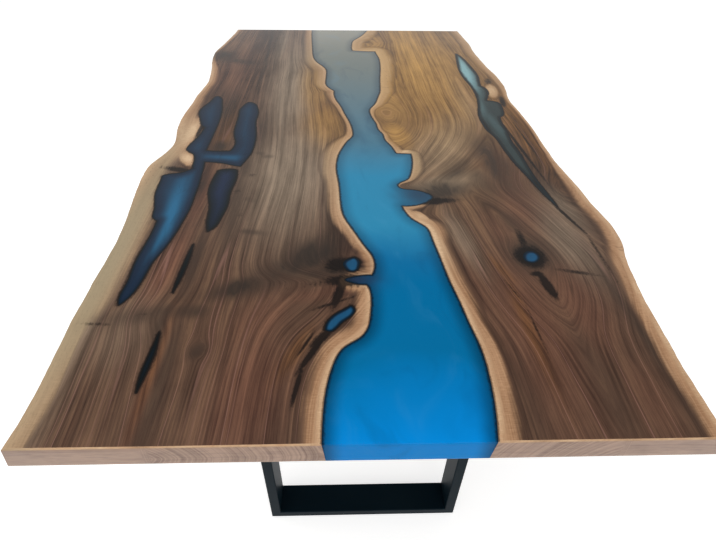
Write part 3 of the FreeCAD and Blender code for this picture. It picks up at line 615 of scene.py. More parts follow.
def walnut_material(wood):
    """Walnut under a clear gloss finish: banded heartwood, pale sapwood, knots, cracks and bark."""
    material, paint = new_paint("walnut_gloss")
    x, y, z = paint.place()
    side, pith, log, sap, rim, end = paint.numbers("side", "pith", "log", "sap", "rim", "end")
    dark, dusk, rosy, amber, honey, ash, cream = paint.numbers("dark", "dusk", "rosy", "amber", "honey", "ash",
                                                               "cream")
    depth = TOP_Z - z

    # Growth rings are how far a place is from the pith, in a section that is a little squarer than round
    wander = paint.swing((x * 7, y * 2.2, z * 7 + log))
    below = pith - depth
    ring = ((side * side) ** 0.7 + (below * below) ** 0.7) ** 0.714 + wander * 0.010

    # Bands of three widths follow the rings, fibres run along them, and a mottle lies over all
    broad = paint.swing((ring * 21, y * 0.7, log + 1), 2, 0.55)
    medium = paint.swing((ring * 75, y * 1.5, log + 2), 2, 0.6)
    fine = paint.swing((ring * 260, y * 4, log + 3), 2, 0.6)
    fibre = paint.swing((side * 1100, y * 22, depth * 1100 + log), 1)
    mottle = paint.swing((x * 16, y * 7, z * 16 + log), 3, 0.6)
    tone = 0.5 + broad * 0.95 + medium * 0.95 + fine * 0.80 + fibre * 0.35 + mottle * 0.45

    def toned(deep, light, contrast, offset):
        """A tint that keeps the light and dark bands of the wood under it."""
        return paint.mix((tone * contrast - offset).clamped(), deep, light)

    def thin_lines(scale, slow, seed, half_width, gate):
        """Thin lines along the rings, in some of the bands only."""
        lines = paint.swing((ring * scale, y * slow, log + seed), 1, 0.4)
        sparse = paint.noise((ring * scale * 0.8, y * 0.7, log + seed + 0.5), 0).rise(gate, gate + 0.12)
        return (1 - abs(lines) / half_width).clamped() * sparse

    heart = paint.ramp(tone, [(0.12, wood.deep), (0.50, wood.brown), (0.92, wood.light)])
    redness = paint.noise((ring * 30, y * 0.9, log + 4)).rise(0.50, 0.74) * 0.30
    heart = paint.mix((redness + rosy * 0.75).clamped(), heart, toned(wood.rosy_deep, wood.rosy, 1.4, 0.2))
    heart = paint.mix(amber * 0.85, heart, toned(wood.amber_deep, wood.amber, 1.8, 0.4))
    heart = paint.mix(thin_lines(40, 0.6, 6, 0.018, 0.44) * 0.42, heart, wood.vein)
    heart = paint.mix(thin_lines(34, 0.7, 8, 0.020, 0.45) * 0.50, heart, wood.deep)
    # The greyish and golden tints are partly the wood's own and, towards the rear, partly painted reflection of
    # the room's light
    heart = paint.mix(ash * 0.75, heart, toned(wood.ash_and_reflection_deep, wood.ash, 1.6, 0.3))
    heart = paint.mix(honey * 0.85, heart, toned(wood.honey_and_reflection_deep, wood.honey, 1.5, 0.25))

    # The sapwood ends in a ragged border with a darker line in the heartwood beside it
    sap_edge = sap + (mottle * 0.60 + medium * 0.55 + fine * 0.60) * 0.75
    sap_share = sap_edge.rise(1.00, 0.55)
    border = (1 - abs(sap_edge - 1.12) / 0.16).clamped()
    heart = paint.mix(border * 0.35, heart, wood.deep)

    # Sapwood is crossed by short rays, and is palest at the lip of the natural edge
    rays = paint.swing((x * 70, y * 520, z * 520), 2, 0.6)
    sap_band = 0.22 + medium * 1.3 + fine * 1.3 + fibre * 0.5 + rays * 1.2 + mottle * 0.8 + sap * 0.75
    pale = paint.mix(sap_band.clamped(), wood.sapwood, wood.sapwood_tan)
    lip = sap.rise(0.42, 0.10) * (0.40 + rays * 1.6 + mottle * 1.6) * (1 - ash * 0.7)
    lip = lip + cream * (0.42 + mottle * 1.6 + rays * 1.4)
    pale = paint.mix(lip.clamped(), pale, wood.cream)
    # The same tints on the sapwood carry the same painted reflection towards the rear
    pale = paint.mix(ash * 0.75, pale, wood.sapwood_ash_and_reflection)
    pale = paint.mix(honey * 0.60, pale, wood.sapwood_gold_and_reflection)
    body = paint.mix(sap_share, heart, pale)

    # Bark stays in the furrows of the live edges, under the top's rim
    furrows = paint.noise((x * 30, y * 11, z * 190), 3, 0.6).rise(0.44, 0.64)
    barky = depth.rise(0.003, 0.012) * sap.rise(0.15, 0.0) * furrows
    body = paint.mix(barky * 0.60, body, wood.bark)

    # Smoky stains, then knots and cracks with feathery edges, then pores, then a dark line along each cast
    smoky = dusk * (0.95 + mottle * 2.0 + medium * 1.6 + fine * 0.8)
    body = paint.mix(smoky.clamped() * 0.88, body, wood.dusk)
    grit = paint.swing((x * 210, y * 150, z * 210), 3, 0.65)
    streak = medium * 0.6 + fine * 0.9 + mottle * 0.7 + grit * 0.8
    stained = (dark + streak * dark.rise(0.0, 0.20) * 0.7).rise(0.14, 0.66)
    body = paint.mix(stained * 0.92, body, wood.black)
    pores = paint.cells((side * 900, y * 70, depth * 900 + log)).rise(0.32, 0.12)
    body = paint.mix(pores * 0.22, body, wood.black)
    body = paint.mix((rim + grit * 0.003).rise(0.0034, 0.0008) * 0.75, body, wood.black)

    # The cut ends show the rings from the front, tinted pinker and painted lighter than the top as painted light
    # falling on them
    lit_cut_end = paint.mix(0.75, body, wood.lit_end_grain)
    lit_cut_end = paint.mix(sap_share * 0.5, lit_cut_end, wood.lit_end_sapwood)
    end_rings = paint.swing((ring * 300, 0.5, log + 12))
    lit_cut_end = paint.mix(((end_rings + 0.15) * 1.6 + mottle * 1.2).clamped(), lit_cut_end, wood.end_rings)
    body = paint.mix(end * 0.90, body, lit_cut_end)

    sheen = 0.16 + fine * 0.05 + paint.swing((x * 6, y * 6, z * 6)) * 0.06
    relief = paint.noise((x * 45, y * 14, z * 45), 3) * 0.8 + fibre * 0.2
    paint.surface({"Base Color": body, "Roughness": sheen, "IOR": 1.36,
                   "Normal": paint.bump(relief, 0.00012, 0.6)})
    return material


def pearl_resin_material(resin):
    """The river: opaque pearly blue that swirls, with painted shade along its edges, a painted glare at its
    front end, and painted reflection of the room that makes it paler and greyer to the rear.
    """
    material, paint = new_paint("river_pearl")
    x, y, z = paint.place()
    rim, smoke = paint.numbers("rim", "marked")
    drift = paint.swing((x * 3.2, y * 1.5, z * 3), 3, 0.5, 0.6)
    along = (y + END_Y) / (2 * END_Y) + drift * 0.10
    # Painted glare brightens the front end, and painted reflection of the room makes the blue paler and greyer
    # from the middle to the rear end
    blue = paint.ramp(along, [(0.0, resin.river_front_glare), (0.075, resin.river_body), (0.20, resin.river_body),
                              (0.27, resin.river_middle_reflection), (0.38, resin.river_middle_reflection), (0.47, resin.river_waist_reflection),
                              (0.74, resin.river_rear_reflection), (1.0, resin.river_far_reflection)])

    swirl = paint.swing((x * 11 + drift * 4, y * 4.5, z * 9), 4, 0.55, 1.2)
    blue = paint.mix(swirl.rise(0.02, 0.28) * 0.10, blue, resin.river_light)
    blue = paint.mix(swirl.rise(-0.02, -0.25) * 0.22, blue, resin.river_dark)

    # A soft band of painted shade along both banks, where the wood shades the resin, strongest towards the front
    # end
    shaded = rim.rise(0.034, 0.0) * (0.45 + along.rise(0.35, 0.05) * 0.30)
    blue = paint.mix(shaded, blue, resin.river_bank)
    blue = paint.mix(smoke * 0.92, blue, resin.smoke)
    # A ragged dark line at the rim, painted shade right at the wood's edge
    chipped = paint.swing((x * 150, y * 150, z * 150), 3, 0.65)
    blue = paint.mix((rim + chipped * 0.006).rise(0.0065, 0.0012) * 0.92, blue, resin.edge)
    flakes = paint.noise((x * 900, y * 900, z * 900), 1)
    blue = paint.mix(flakes.rise(0.66, 0.78) * 0.05, blue, resin.flake)

    # Only the top is polished: the cut end and the underside have no coat
    ripple = paint.noise((x * 10, y * 8, z * 10))
    finished = z.rise(TOP_Z - 0.002, TOP_Z - 0.0005)
    paint.surface({"Base Color": blue, "Roughness": 0.10 + flakes * 0.06, "IOR": 1.12,
                   "Coat Weight": finished * 0.9, "Coat Roughness": 0.05, "Coat IOR": 1.45,
                   "Normal": paint.bump(ripple, 0.0002, 0.5)})
    return material


def inlay_material(name, deep, bright, edge, shade_fades_from, shade_fades_to, calm):
    """Translucent-looking resin in a hollow of the wood: dark round its rim with painted shade of the wood, and
    brighter within.

    It brightens from the first to the second of its two distances, in metres inside its rim, as the painted
    shade lifts. Calm is how bright it is where nothing is marked to glow.
    """
    material, paint = new_paint(name)
    x, y, z = paint.place()
    rim, glow = paint.numbers("rim", "marked")
    drift = paint.swing((x * 14, y * 5, z * 9), 3, 0.55, 0.8)
    wisps = paint.noise((x * 60, y * 16, z * 30), 3, 0.6, 1.0)
    # The deep colour near the rim is painted shade of the wood round the cast
    out_of_shade = (rim + drift * 0.016).rise(shade_fades_from, shade_fades_to)
    body = paint.mix((out_of_shade * (calm * (1.0 + drift * 1.2) + glow)).clamped(), deep, bright)
    body = paint.mix(wisps.rise(0.55, 0.75) * 0.22, body, edge)
    # A dark line right at the rim, painted shade of the wood's edge
    body = paint.mix(rim.rise(0.006, 0.001) * 0.9, body, edge)
    ripple = paint.noise((x * 12, y * 10, z * 12))
    paint.surface({"Base Color": body, "Roughness": 0.09 + wisps * 0.05, "IOR": 1.42,
                   "Normal": paint.bump(ripple, 0.0002, 0.5)})
    return material


def powder_coat_material(steel):
    """Satin black powder coat, with its fine orange peel."""
    material, paint = new_paint("black_powder_coat")
    x, y, z = paint.place()
    peel = paint.noise((x * 420, y * 420, z * 420), 2, 0.45)
    cloud = paint.noise((x * 5, y * 5, z * 5))
    body = paint.mix(cloud.rise(0.35, 0.75) * 0.35, steel.powder_coat, steel.powder_haze)
    paint.surface({"Base Color": body, "Roughness": 0.38 + cloud * 0.12, "IOR": 1.13,
                   "Normal": paint.bump(peel, 0.00022, 0.7)})
    return material


def bare_metal_material(name, metal, tarnish, marks_per_metre):
    """Plated or turned metal, a little cloudy, with fine marks of its making."""
    material, paint = new_paint(name)
    x, y, z = paint.place()
    cloud = paint.noise((x * 60, y * 60, z * 60), 3, 0.6)
    marks = paint.noise((x * marks_per_metre, y * marks_per_metre, z * 2500), 1)
    body = paint.mix(cloud.rise(0.3, 0.8) * 0.4, metal, tarnish)
    paint.surface({"Base Color": body, "Metallic": 1.0, "Roughness": 0.28 + cloud * 0.2 + marks * 0.06,
                   "Normal": paint.bump(marks, 0.00003, 0.5)})
    return material


def foot_plastic_material(steel):
    """Moulded black plastic with a fine leathery grain."""
    material, paint = new_paint("foot_plastic_moulded")
    x, y, z = paint.place()
    grain = paint.cells((x * 1300, y * 1300, z * 1300))
    worn = paint.noise((x * 90, y * 90, z * 90), 3)
    body = paint.mix(worn.rise(0.5, 0.8) * 0.3, steel.plastic, steel.scuff)
    paint.surface({"Base Color": body, "Roughness": 0.55 + worn * 0.12, "IOR": 1.45,
                   "Normal": paint.bump(grain, 0.0001, 0.6)})
    return material


# ---- Fine copies of the top's pieces ----

def glide(at, table):
    """Read a table of (key, value) pairs as a smooth curve."""
    keys, values = np.array(table, float).T
    slopes = np.gradient(values, keys)
    index = np.clip(np.searchsorted(keys, at) - 1, 0, len(keys) - 2)
    gap = keys[index + 1] - keys[index]
    t = np.clip((at - keys[index]) / gap, 0.0, 1.0)
    return ((2 * t**3 - 3 * t**2 + 1) * values[index] + (t**3 - 2 * t**2 + t) * gap * slopes[index]
            + (3 * t**2 - 2 * t**3) * values[index + 1] + (t**3 - t**2) * gap * slopes[index + 1])


def patches(x, y, smudges):
    """How strongly a list of smudges marks each place."""
    total = np.zeros_like(x)
    for smudge in smudges:
        turn = math.radians(smudge.angle)
        along = (x - smudge.x) * math.cos(turn) + (y - smudge.y) * math.sin(turn)
        across = (y - smudge.y) * math.cos(turn) - (x - smudge.x) * math.sin(turn)
        reach = (along / smudge.half_length) ** 2 + (across / smudge.half_width) ** 2
        # The power makes the middle flatter and the edge steeper than a bell's
        total = np.maximum(total, smudge.strength * np.exp(-reach**1.25))
    return total


def crossings(rim, y):
    """Where a level line crosses the rim's edges, from left to right."""
    hit = (rim[:, 1] > y) != (rim[:, 3] > y)
    edge = rim[hit]
    return np.sort(edge[:, 0] + (y - edge[:, 1]) / (edge[:, 3] - edge[:, 1]) * (edge[:, 2] - edge[:, 0]))


def is_within(rim, x, y):
    """Which points lie inside the rim."""
    order = np.argsort(y)
    sorted_x, sorted_y = x[order], y[order]
    within = np.zeros(len(x), bool)
    for x0, y0, x1, y1 in rim:
        start, stop = np.searchsorted(sorted_y, sorted((y0, y1)))
        if start < stop:
            reach = slice(start, stop)
            within[reach] ^= sorted_x[reach] < x0 + (sorted_y[reach] - y0) / (y1 - y0) * (x1 - x0)
    result = np.empty(len(x), bool)
    result[order] = within
    return result


def once_each(items):
    """Each item once, in the order of their first turns."""
    return list(dict.fromkeys(items))


def rim_edges(bm, level):
    """The open edges at one height."""
    return [edge for edge in bm.edges
            if edge.is_boundary and all(abs(vert.co.z - level) < SAME for vert in edge.verts)]


def outline_of(edges):
    """Edges as rows of x0, y0, x1, y1."""
    return np.array([(*edge.verts[0].co.xy, *edge.verts[1].co.xy) for edge in edges]).reshape(-1, 4)


def beside_rim(rim):
    """Rows of places beside a rim, on either side of it."""
    spots = []
    for x0, y0, x1, y1 in rim:
        run = math.hypot(x1 - x0, y1 - y0)
        if run < SAME:
            continue
        count = math.ceil(run / RIM_PLACE_GAP)
        t = (np.arange(count) + 0.5) / count
        for row in RIM_ROWS:
            for away in (-row, row):
                spots.append(np.stack([x0 + (x1 - x0) * t - (y1 - y0) / run * away,
                                       y0 + (y1 - y0) * t + (x1 - x0) / run * away], 1))
    return np.concatenate(spots)


def over_marks(smudges):
    """Close places over the slender smudges, which the even sheet is too coarse for."""
    spots = [np.empty((0, 2))]
    for smudge in smudges:
        if smudge.half_width > SLENDER:
            continue
        turn = math.radians(smudge.angle)
        # Seven rows, from one and a half half widths on one side to as many on the other, and a little past
        # both tips
        gap = MARK_PLACE_GAP / smudge.half_length
        across, along = np.meshgrid(np.arange(-1.5, 1.6, 0.5) * smudge.half_width,
                                    np.arange(-1.1, 1.1, gap) * smudge.half_length)
        spots.append(np.stack([smudge.x + (along * math.cos(turn) - across * math.sin(turn)).ravel(),
                               smudge.y + (along * math.sin(turn) + across * math.cos(turn)).ravel()], 1))
    return np.concatenate(spots)


def fill_flat(bm, level, step, marks=None):
    """Close the openings at one height with a sheet of small, even triangles.

    Where marks are given, even an empty row of them, the sheet is finer beside its rim and over the marks.
    """
    edges = rim_edges(bm, level)
    corners = once_each(vert for edge in edges for vert in edge.verts)
    index_of = {vert: index for index, vert in enumerate(corners)}
    rim = outline_of(edges)
    low = rim[:, 1].min()
    high = rim[:, 1].max()
    spots = [vert.co.xy.copy() for vert in corners]
    # Places in staggered rows, none nearer to the rim's sides than 0.4 of a step
    for row, y in enumerate(np.arange(low + step / 2, high, step)):
        stagger = step / 2 * (row % 2)
        cuts = crossings(rim, y)
        for start, stop in zip(cuts[::2], cuts[1::2]):
            first = math.ceil((start + 0.4 * step - stagger) / step) * step + stagger
            spots.extend(Vector((x, y)) for x in np.arange(first, stop - 0.4 * step, step))
    if marks is not None:
        extra = np.concatenate([beside_rim(rim), over_marks(marks)])
        extra = extra[is_within(rim, *extra.T)]
        extra = extra[nearest(rim, *extra.T, RIM_CLEARANCE_SPACING) > RIM_CLEARANCE]
        spots.extend(Vector(spot) for spot in extra)
    links = [tuple(index_of[vert] for vert in edge.verts) for edge in edges]
    places, _, faces, sources, _, _ = delaunay_2d_cdt(spots, links, [], 0, MESHING_SLACK)
    middles = np.array([[sum(places[corner][axis] for corner in face) / 3 for axis in (0, 1)] for face in faces])
    within = is_within(rim, middles[:, 0], middles[:, 1])
    verts = []
    for place, source in zip(places, sources):
        if source and source[0] < len(corners):
            verts.append(corners[source[0]])
        else:
            verts.append(bm.verts.new((place.x, place.y, level)))
    upward = level > (TOP_Z + UNDERSIDE_Z) / 2
    for face, keep in zip(faces, within):
        if keep:
            ring = [verts[corner] for corner in face]
            bm.faces.new(ring if upward else ring[::-1])


def outer_wall(bm):
    """The points of a piece's longest wall, which goes round it, when its flat faces are gone."""
    seen = set()
    longest = []
    longest_spread = -1.0
    for vert in bm.verts:
        if vert in seen:
            continue
        wall = [vert]
        seen.add(vert)
        for member in wall:
            for edge in member.link_edges:
                other = edge.other_vert(member)
                if other not in seen:
                    seen.add(other)
                    wall.append(other)
        spread = max(member.co.y for member in wall) - min(member.co.y for member in wall)
        if spread > longest_spread:
            longest_spread = spread
            longest = wall
    return set(longest)


def is_outside(vert):
    """Whether a wall's point is on the outside of the whole table top."""
    return abs(vert.co.x) > LIVE_EDGE_MIN_X or abs(vert.co.y) > END_Y - ARRIS


def cut_outside(bm, wall, step):
    """Cut the part of a wall that shows into strips across, along and up."""
    faces = [face for face in bm.faces if all(vert in wall and is_outside(vert) for vert in face.verts)]
    geometry = (once_each(edge for face in faces for edge in face.edges)
                + once_each(vert for face in faces for vert in face.verts) + faces)
    for axis, gap in ((0, step), (1, step), (2, (TOP_Z - UNDERSIDE_Z) / STRIPS_UP)):
        normal = Vector([float(axis == other) for other in range(3)])
        low = min(vert.co[axis] for vert in wall)
        high = max(vert.co[axis] for vert in wall)
        for place in np.arange(low + gap, high - gap / 2, gap):
            done = bmesh.ops.bisect_plane(bm, geom=geometry, plane_co=normal * place, plane_no=normal, dist=SAME)
            geometry = done["geom"]


def ripple_live_edge(wall, depth):
    """Work shallow ripples into the natural outer edge, always inwards."""
    for vert in wall:
        place = vert.co.copy()
        if abs(place.x) < LIVE_EDGE_MIN_X:
            continue
        fade = min(1.0, (END_Y - abs(place.y)) / RIPPLE_FADE)
        long_wave = noise.noise(Vector((place.y * 22, place.z * 9, place.x)))
        short_wave = noise.noise(Vector((place.y * 75, place.z * 40, place.x)))
        furrow = noise.noise(Vector((place.y * 7, place.z * 130, 3.0)))
        push = 0.45 + 0.5 * long_wave + 0.25 * short_wave + 0.2 * furrow
        vert.co.x -= math.copysign(depth * max(0.0, min(1.0, push)) * fade, place.x)


def walls_of(node_name):
    """A CAD piece of the top without its flat top and underside."""
    bm = bmesh.new()
    bm.from_mesh(frame["nodes"][node_name].data)
    bmesh.ops.remove_doubles(bm, verts=bm.verts[:], dist=JOINED)
    low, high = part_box(node_name)
    flats = [face for face in bm.faces
             if any(all(abs(vert.co.z - level) < SAME for vert in face.verts) for level in (low.z, high.z))]
    bmesh.ops.delete(bm, geom=flats, context="FACES")
    return bm


def fit_to_mould(bm, level):
    """Move a cast's rim onto the wood's rim, corner for corner, so that no gap shows between the two.

    Where no wood reaches that height beside the cast, its rim stays as it is.
    """
    lines = []
    for node_name in ("left_slab", "right_slab"):
        slab = walls_of(node_name)
        lines.append(outline_of(rim_edges(slab, level)))
        slab.free()
    mould = np.concatenate(lines)
    mould = mould[np.hypot(mould[:, 2] - mould[:, 0], mould[:, 3] - mould[:, 1]) > SAME]
    if not len(mould):
        return
    starts = mould[:, :2]
    spans = mould[:, 2:] - starts
    for vert in once_each(vert for edge in rim_edges(bm, level) for vert in edge.verts):
        spot = np.array(vert.co.xy)
        t = np.clip(((spot - starts) * spans).sum(1) / (spans**2).sum(1), 0.0, 1.0)
        near = starts + t[:, None] * spans
        away = np.hypot(*(near - spot).T)
        if away.min() < FIT:
            vert.co.xy = near[away.argmin()]
    corners = np.unique(mould.reshape(-1, 2).round(7), axis=0)
    for edge in rim_edges(bm, level):
        far = edge.verts[1]
        start = np.array(edge.verts[0].co.xy)
        span = np.array(far.co.xy) - start
        run = math.hypot(*span)
        if run < 2 * SHORTEST_CUT:
            continue
        t = (corners - start) @ span / run**2
        away = np.hypot(*(start + t[:, None] * span - corners).T)
        hits = (away < FIT) & (t * run > SHORTEST_CUT) & ((1 - t) * run > SHORTEST_CUT)
        for spot in corners[hits][np.argsort(t[hits])]:
            _, corner = bmesh.utils.edge_split(edge, edge.other_vert(far), 0.5)
            corner.co.xy = spot
            edge = next(link for link in corner.link_edges if far in link.verts)


def fine_bmesh(node_name, top_step, under_step, ripple=0.0, marks=(), is_cast=False):
    """A CAD piece of the top with its outside cut up and its flat faces made of small triangles.

    It comes with the outline of its top face, and with the outlines of the hollows in that face.
    """
    bm = walls_of(node_name)
    low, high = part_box(node_name)
    if is_cast:
        fit_to_mould(bm, high.z)
        fit_to_mould(bm, low.z)
    cut_outside(bm, outer_wall(bm), 2 * top_step)
    wall = outer_wall(bm)
    if ripple:
        ripple_live_edge(wall, ripple)
    rim = rim_edges(bm, high.z)
    outline = outline_of([edge for edge in rim if edge.verts[0] in wall])
    hollows = outline_of([edge for edge in rim if edge.verts[0] not in wall])
    fill_flat(bm, high.z, top_step, marks)
    fill_flat(bm, low.z, under_step)
    return bm, outline, hollows


def nearest(outline, x, y, spacing=0.0015):
    """Distance in plan from each place to the nearest point of an outline, to about half the spacing."""
    pieces = []
    for x0, y0, x1, y1 in outline:
        count = max(2, int(math.hypot(x1 - x0, y1 - y0) / spacing) + 1)
        t = np.linspace(0.0, 1.0, count)
        pieces.append(np.stack([x0 + (x1 - x0) * t, y0 + (y1 - y0) * t], 1))
    spots = np.concatenate(pieces)
    tree = KDTree(len(spots))
    for index, spot in enumerate(spots):
        tree.insert((spot[0], spot[1], 0.0), index)
    tree.balance()
    return np.array([tree.find((px, py, 0.0))[2] for px, py in zip(x, y)])


def set_number(mesh, name, values):
    """Keep one number for each point of a mesh."""
    layer = mesh.attributes.new(name, "FLOAT", "POINT")
    layer.data.foreach_set("value", np.asarray(values, np.float32))


def finish_piece(bm, name, node_name, material):
    """Turn a bmesh into a shown piece that stands for a CAD node."""
    mesh = bpy.data.meshes.new(name)
    bm.to_mesh(mesh)
    bm.free()
    if "custom_normal" in mesh.attributes:
        # The CAD mesh's own normals would shade the new sharp rims as if they were round
        mesh.attributes.remove(mesh.attributes["custom_normal"])
    mesh.polygons.foreach_set("use_smooth", np.ones(len(mesh.polygons), bool))
    mesh.set_sharp_from_angle(angle=SHARP_ANGLE)
    mesh.materials.append(material)
    piece = bpy.data.objects.new(name, mesh)
    bpy.context.scene.collection.objects.link(piece)
    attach(piece, TABLE_BODY)
    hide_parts(node_name)
    return piece


def points_of(mesh):
    """The x, y and z of a mesh's points."""
    co = np.empty(len(mesh.vertices) * 3)
    mesh.vertices.foreach_get("co", co)
    return co.reshape(-1, 3).T


def runs_along_end(outline):
    """Which rows of an outline run along an end of the table."""
    return np.abs(outline[:, [1, 3]]).min(1) > END_Y - ARRIS - SAME


def grain_side(x, y, slab, live, river):
    """How far each place is from the pith, sideways, in rings that near the natural edges follow them."""
    across = x - glide(y, slab.pith_x)
    toward_river = (across > 0) == (np.mean(x) < 0)
    edge = np.where(toward_river, river, live)
    width = np.where(toward_river, slab.river_width, slab.live_width)
    plain = np.abs(across)
    following = width * plain / np.maximum(plain + edge, LEAST)
    side = np.sign(across) * (plain + (following - plain) * np.exp(-edge / RING_FOLLOWING))
    # A bend pulls the rings sideways
    for bend in slab.bends:
        reach_y = np.where(y < bend.y, bend.reach_front, bend.reach_rear)
        side -= bend.pull * np.exp(-((x - bend.x) / bend.reach_x) ** 2 - ((y - bend.y) / reach_y) ** 2)
    # Rings flow round a knot as water does round a post
    for knot in slab.knots:
        here = int(np.argmin((x - knot.x) ** 2 + (y - knot.y) ** 2))
        away = side - side[here]
        reach = away**2 + ((y - knot.y) / knot.stretch) ** 2
        side = side[here] + away * (1 - knot.radius**2 / np.maximum(reach, knot.radius**2))
    return side


def make_slab(node_name, slab, material, wood):
    """A walnut slab, with the figure of its wood kept on its points."""
    bm, outline, hollows = fine_bmesh(node_name, wood.top_face_size, wood.under_face_size, wood.ripple,
                                      slab.marks["dark"] + slab.marks["cream"])
    piece = finish_piece(bm, node_name + "_wood", node_name, material)
    mesh = piece.data
    x, y, z = points_of(mesh)
    natural = outline[~runs_along_end(outline)]
    is_live = np.abs(natural[:, 0]) > LIVE_EDGE_MIN_X
    inside = is_within(outline, x, y) | (z > TOP_Z - SAME)
    live = np.where(inside, nearest(natural[is_live], x, y), 0.0)
    river = nearest(natural[~is_live], x, y)
    hollow = nearest(hollows, x, y)
    sap = np.minimum(live / glide(y, slab.live_sapwood), river / glide(y, slab.river_sapwood))
    halo = HALO_STRENGTH * np.exp(-((hollow / HALO_REACH) ** HALO_STEEPNESS))
    marks = {name: patches(x, y, smudges) for name, smudges in slab.marks.items()}
    marks["dark"] = np.maximum(marks["dark"], halo)
    # Sapwood is where sap is under 1, so this makes sapwood of the cream marks and leaves the rest alone
    sap = np.minimum(sap, 1.6 - 1.5 * marks["cream"])
    on_top = z > TOP_Z - ARRIS
    set_number(mesh, "side", grain_side(x, y, slab, live, river))
    set_number(mesh, "pith", glide(y, slab.pith_depth))
    set_number(mesh, "log", np.full(len(x), slab.log))
    set_number(mesh, "sap", sap)
    set_number(mesh, "rim", np.where(on_top, np.minimum(river, hollow), FAR_FROM_RIM))
    for name, values in marks.items():
        set_number(mesh, name, values)
    set_number(mesh, "end", (np.abs(y) > END_Y - SAME).astype(float))
    return piece


def make_cast(node_name, name, material, step, under_step, marked=()):
    """A piece of cast resin. Its points keep the distance from its rim, and how marked they are."""
    bm, outline, _ = fine_bmesh(node_name, step, under_step, is_cast=True)
    piece = finish_piece(bm, name, node_name, material)
    x, y, _ = points_of(piece.data)
    set_number(piece.data, "rim", nearest(outline[~runs_along_end(outline)], x, y))
    set_number(piece.data, "marked", patches(x, y, marked))
    return piece


# ---- Operators ----

def settings():
    """The table's settings in this scene."""
    return bpy.context.scene.river_table


WHITE = (1.0, 1.0, 1.0)

# How bright the room is in mirrored rays, from the floor's level up to overhead
ROOM_GREYS = ((0.22, 0.85), (0.30, 0.36), (0.57, 0.32), (0.66, 0.05))


def ray_kind(paint, kind):
    """1 for rays of one kind, and 0 for the others."""
    return paint.node("ShaderNodeLightPath", output="Is " + kind + " Ray")


def seen_rays(paint):
    """1 for what the camera sees, also in gloss or through glass, and 0 for what only gives light."""
    camera, glossy, glass = (ray_kind(paint, kind) for kind in ("Camera", "Glossy", "Transmission"))
    return (camera + glossy + glass).clamped()


class BuildStudio(bpy.types.Operator):
    """Set up the camera, the lamps, the white surroundings and the floor"""
    bl_idname = "river_table.studio"
    bl_label = "Studio"

    def execute(self, context):
        studio = settings().studio
        scene = context.scene
        scene.view_settings.view_transform = "Standard"
        self.add_camera(scene, studio)
        self.add_world(scene, studio)
        self.add_lamp("overhead_softbox", place=(-0.9, -0.5, 3.4), target=(0.0, 0.0, 0.75), size=3.2,
                      watts=studio.key_light)
        self.add_lamp("front_softbox", place=(0.6, -3.6, 1.9), target=(0.0, -0.6, 0.6), size=2.0,
                      watts=studio.front_light)
        self.add_floor(studio)
        return {"FINISHED"}

    def add_camera(self, scene, studio):
        camera = bpy.data.cameras.new("photo_camera")
        camera.sensor_fit = "HORIZONTAL"
        camera.sensor_width = 36.0
        camera.lens = studio.lens
        camera.clip_end = 100.0
        holder = bpy.data.objects.new("photo_camera", camera)
        turn = (Matrix.Rotation(-studio.yaw, 4, "Z") @ Matrix.Rotation(math.pi / 2 - studio.pitch, 4, "X")
                @ Matrix.Rotation(studio.roll, 4, "Z"))
        holder.matrix_world = Matrix.Translation(studio.camera_place) @ turn
        scene.collection.objects.link(holder)
        scene.camera = holder

    def add_world(self, scene, studio):
        """Pure white behind the table, soft light all round, and a graded room in what is mirrored."""
        scene.world = bpy.data.worlds.new("studio_surroundings")
        paint = Paint(scene.world)
        spot = paint.node("ShaderNodeTexCoord", output="Generated")
        height = paint.node("ShaderNodeSeparateXYZ", None, {0: spot}, "Z")
        room = paint.ramp(height, [(level, (grey, grey, grey)) for level, grey in ROOM_GREYS])
        backdrop = paint.mix(ray_kind(paint, "Camera"), room, WHITE)
        white = paint.node("ShaderNodeBackground", None, {"Color": backdrop, "Strength": 1.0})
        soft = paint.node("ShaderNodeBackground", None, {"Color": WHITE, "Strength": studio.soft_light})
        mixed = paint.node("ShaderNodeMixShader", None, {0: seen_rays(paint), 1: soft, 2: white})
        paint.node("ShaderNodeOutputWorld", None, {"Surface": mixed})

    def add_lamp(self, name, place, target, size, watts):
        lamp = bpy.data.lights.new(name, "AREA")
        lamp.shape = "SQUARE"
        lamp.size = size
        lamp.energy = watts
        holder = bpy.data.objects.new(name, lamp)
        aim = Vector(target) - Vector(place)
        holder.matrix_world = Matrix.Translation(place) @ aim.to_track_quat("-Z", "Y").to_matrix().to_4x4()
        holder.visible_camera = False
        holder.visible_glossy = False
        bpy.context.scene.collection.objects.link(holder)

    def add_floor(self, studio):
        """A pale floor that takes shadows and is lifted to near white where it is seen."""
        material, paint = new_paint("studio_floor")
        x, y, z = paint.place()
        cloud = paint.noise((x * 1.5, y * 1.5, z), 3)
        base = paint.mix(cloud * 0.2, studio.floor, studio.floor_cloud)
        matte = paint.node("ShaderNodeBsdfDiffuse", None, {"Color": base})
        glow = paint.node("ShaderNodeEmission", None, {"Color": WHITE, "Strength": studio.floor_lift})
        lifted = paint.node("ShaderNodeAddShader", None, {0: matte, 1: glow})
        surface = paint.node("ShaderNodeMixShader", None, {0: seen_rays(paint), 1: matte, 2: lifted})
        paint.node("ShaderNodeOutputMaterial", None, {"Surface": surface})
        bm = bmesh.new()
        bmesh.ops.create_grid(bm, x_segments=24, y_segments=24, size=12.0)
        mesh = bpy.data.meshes.new("studio_floor")
        bm.to_mesh(mesh)
        bm.free()
        mesh.materials.append(material)
        floor = bpy.data.objects.new("studio_floor", mesh)
        bpy.context.scene.collection.objects.link(floor)


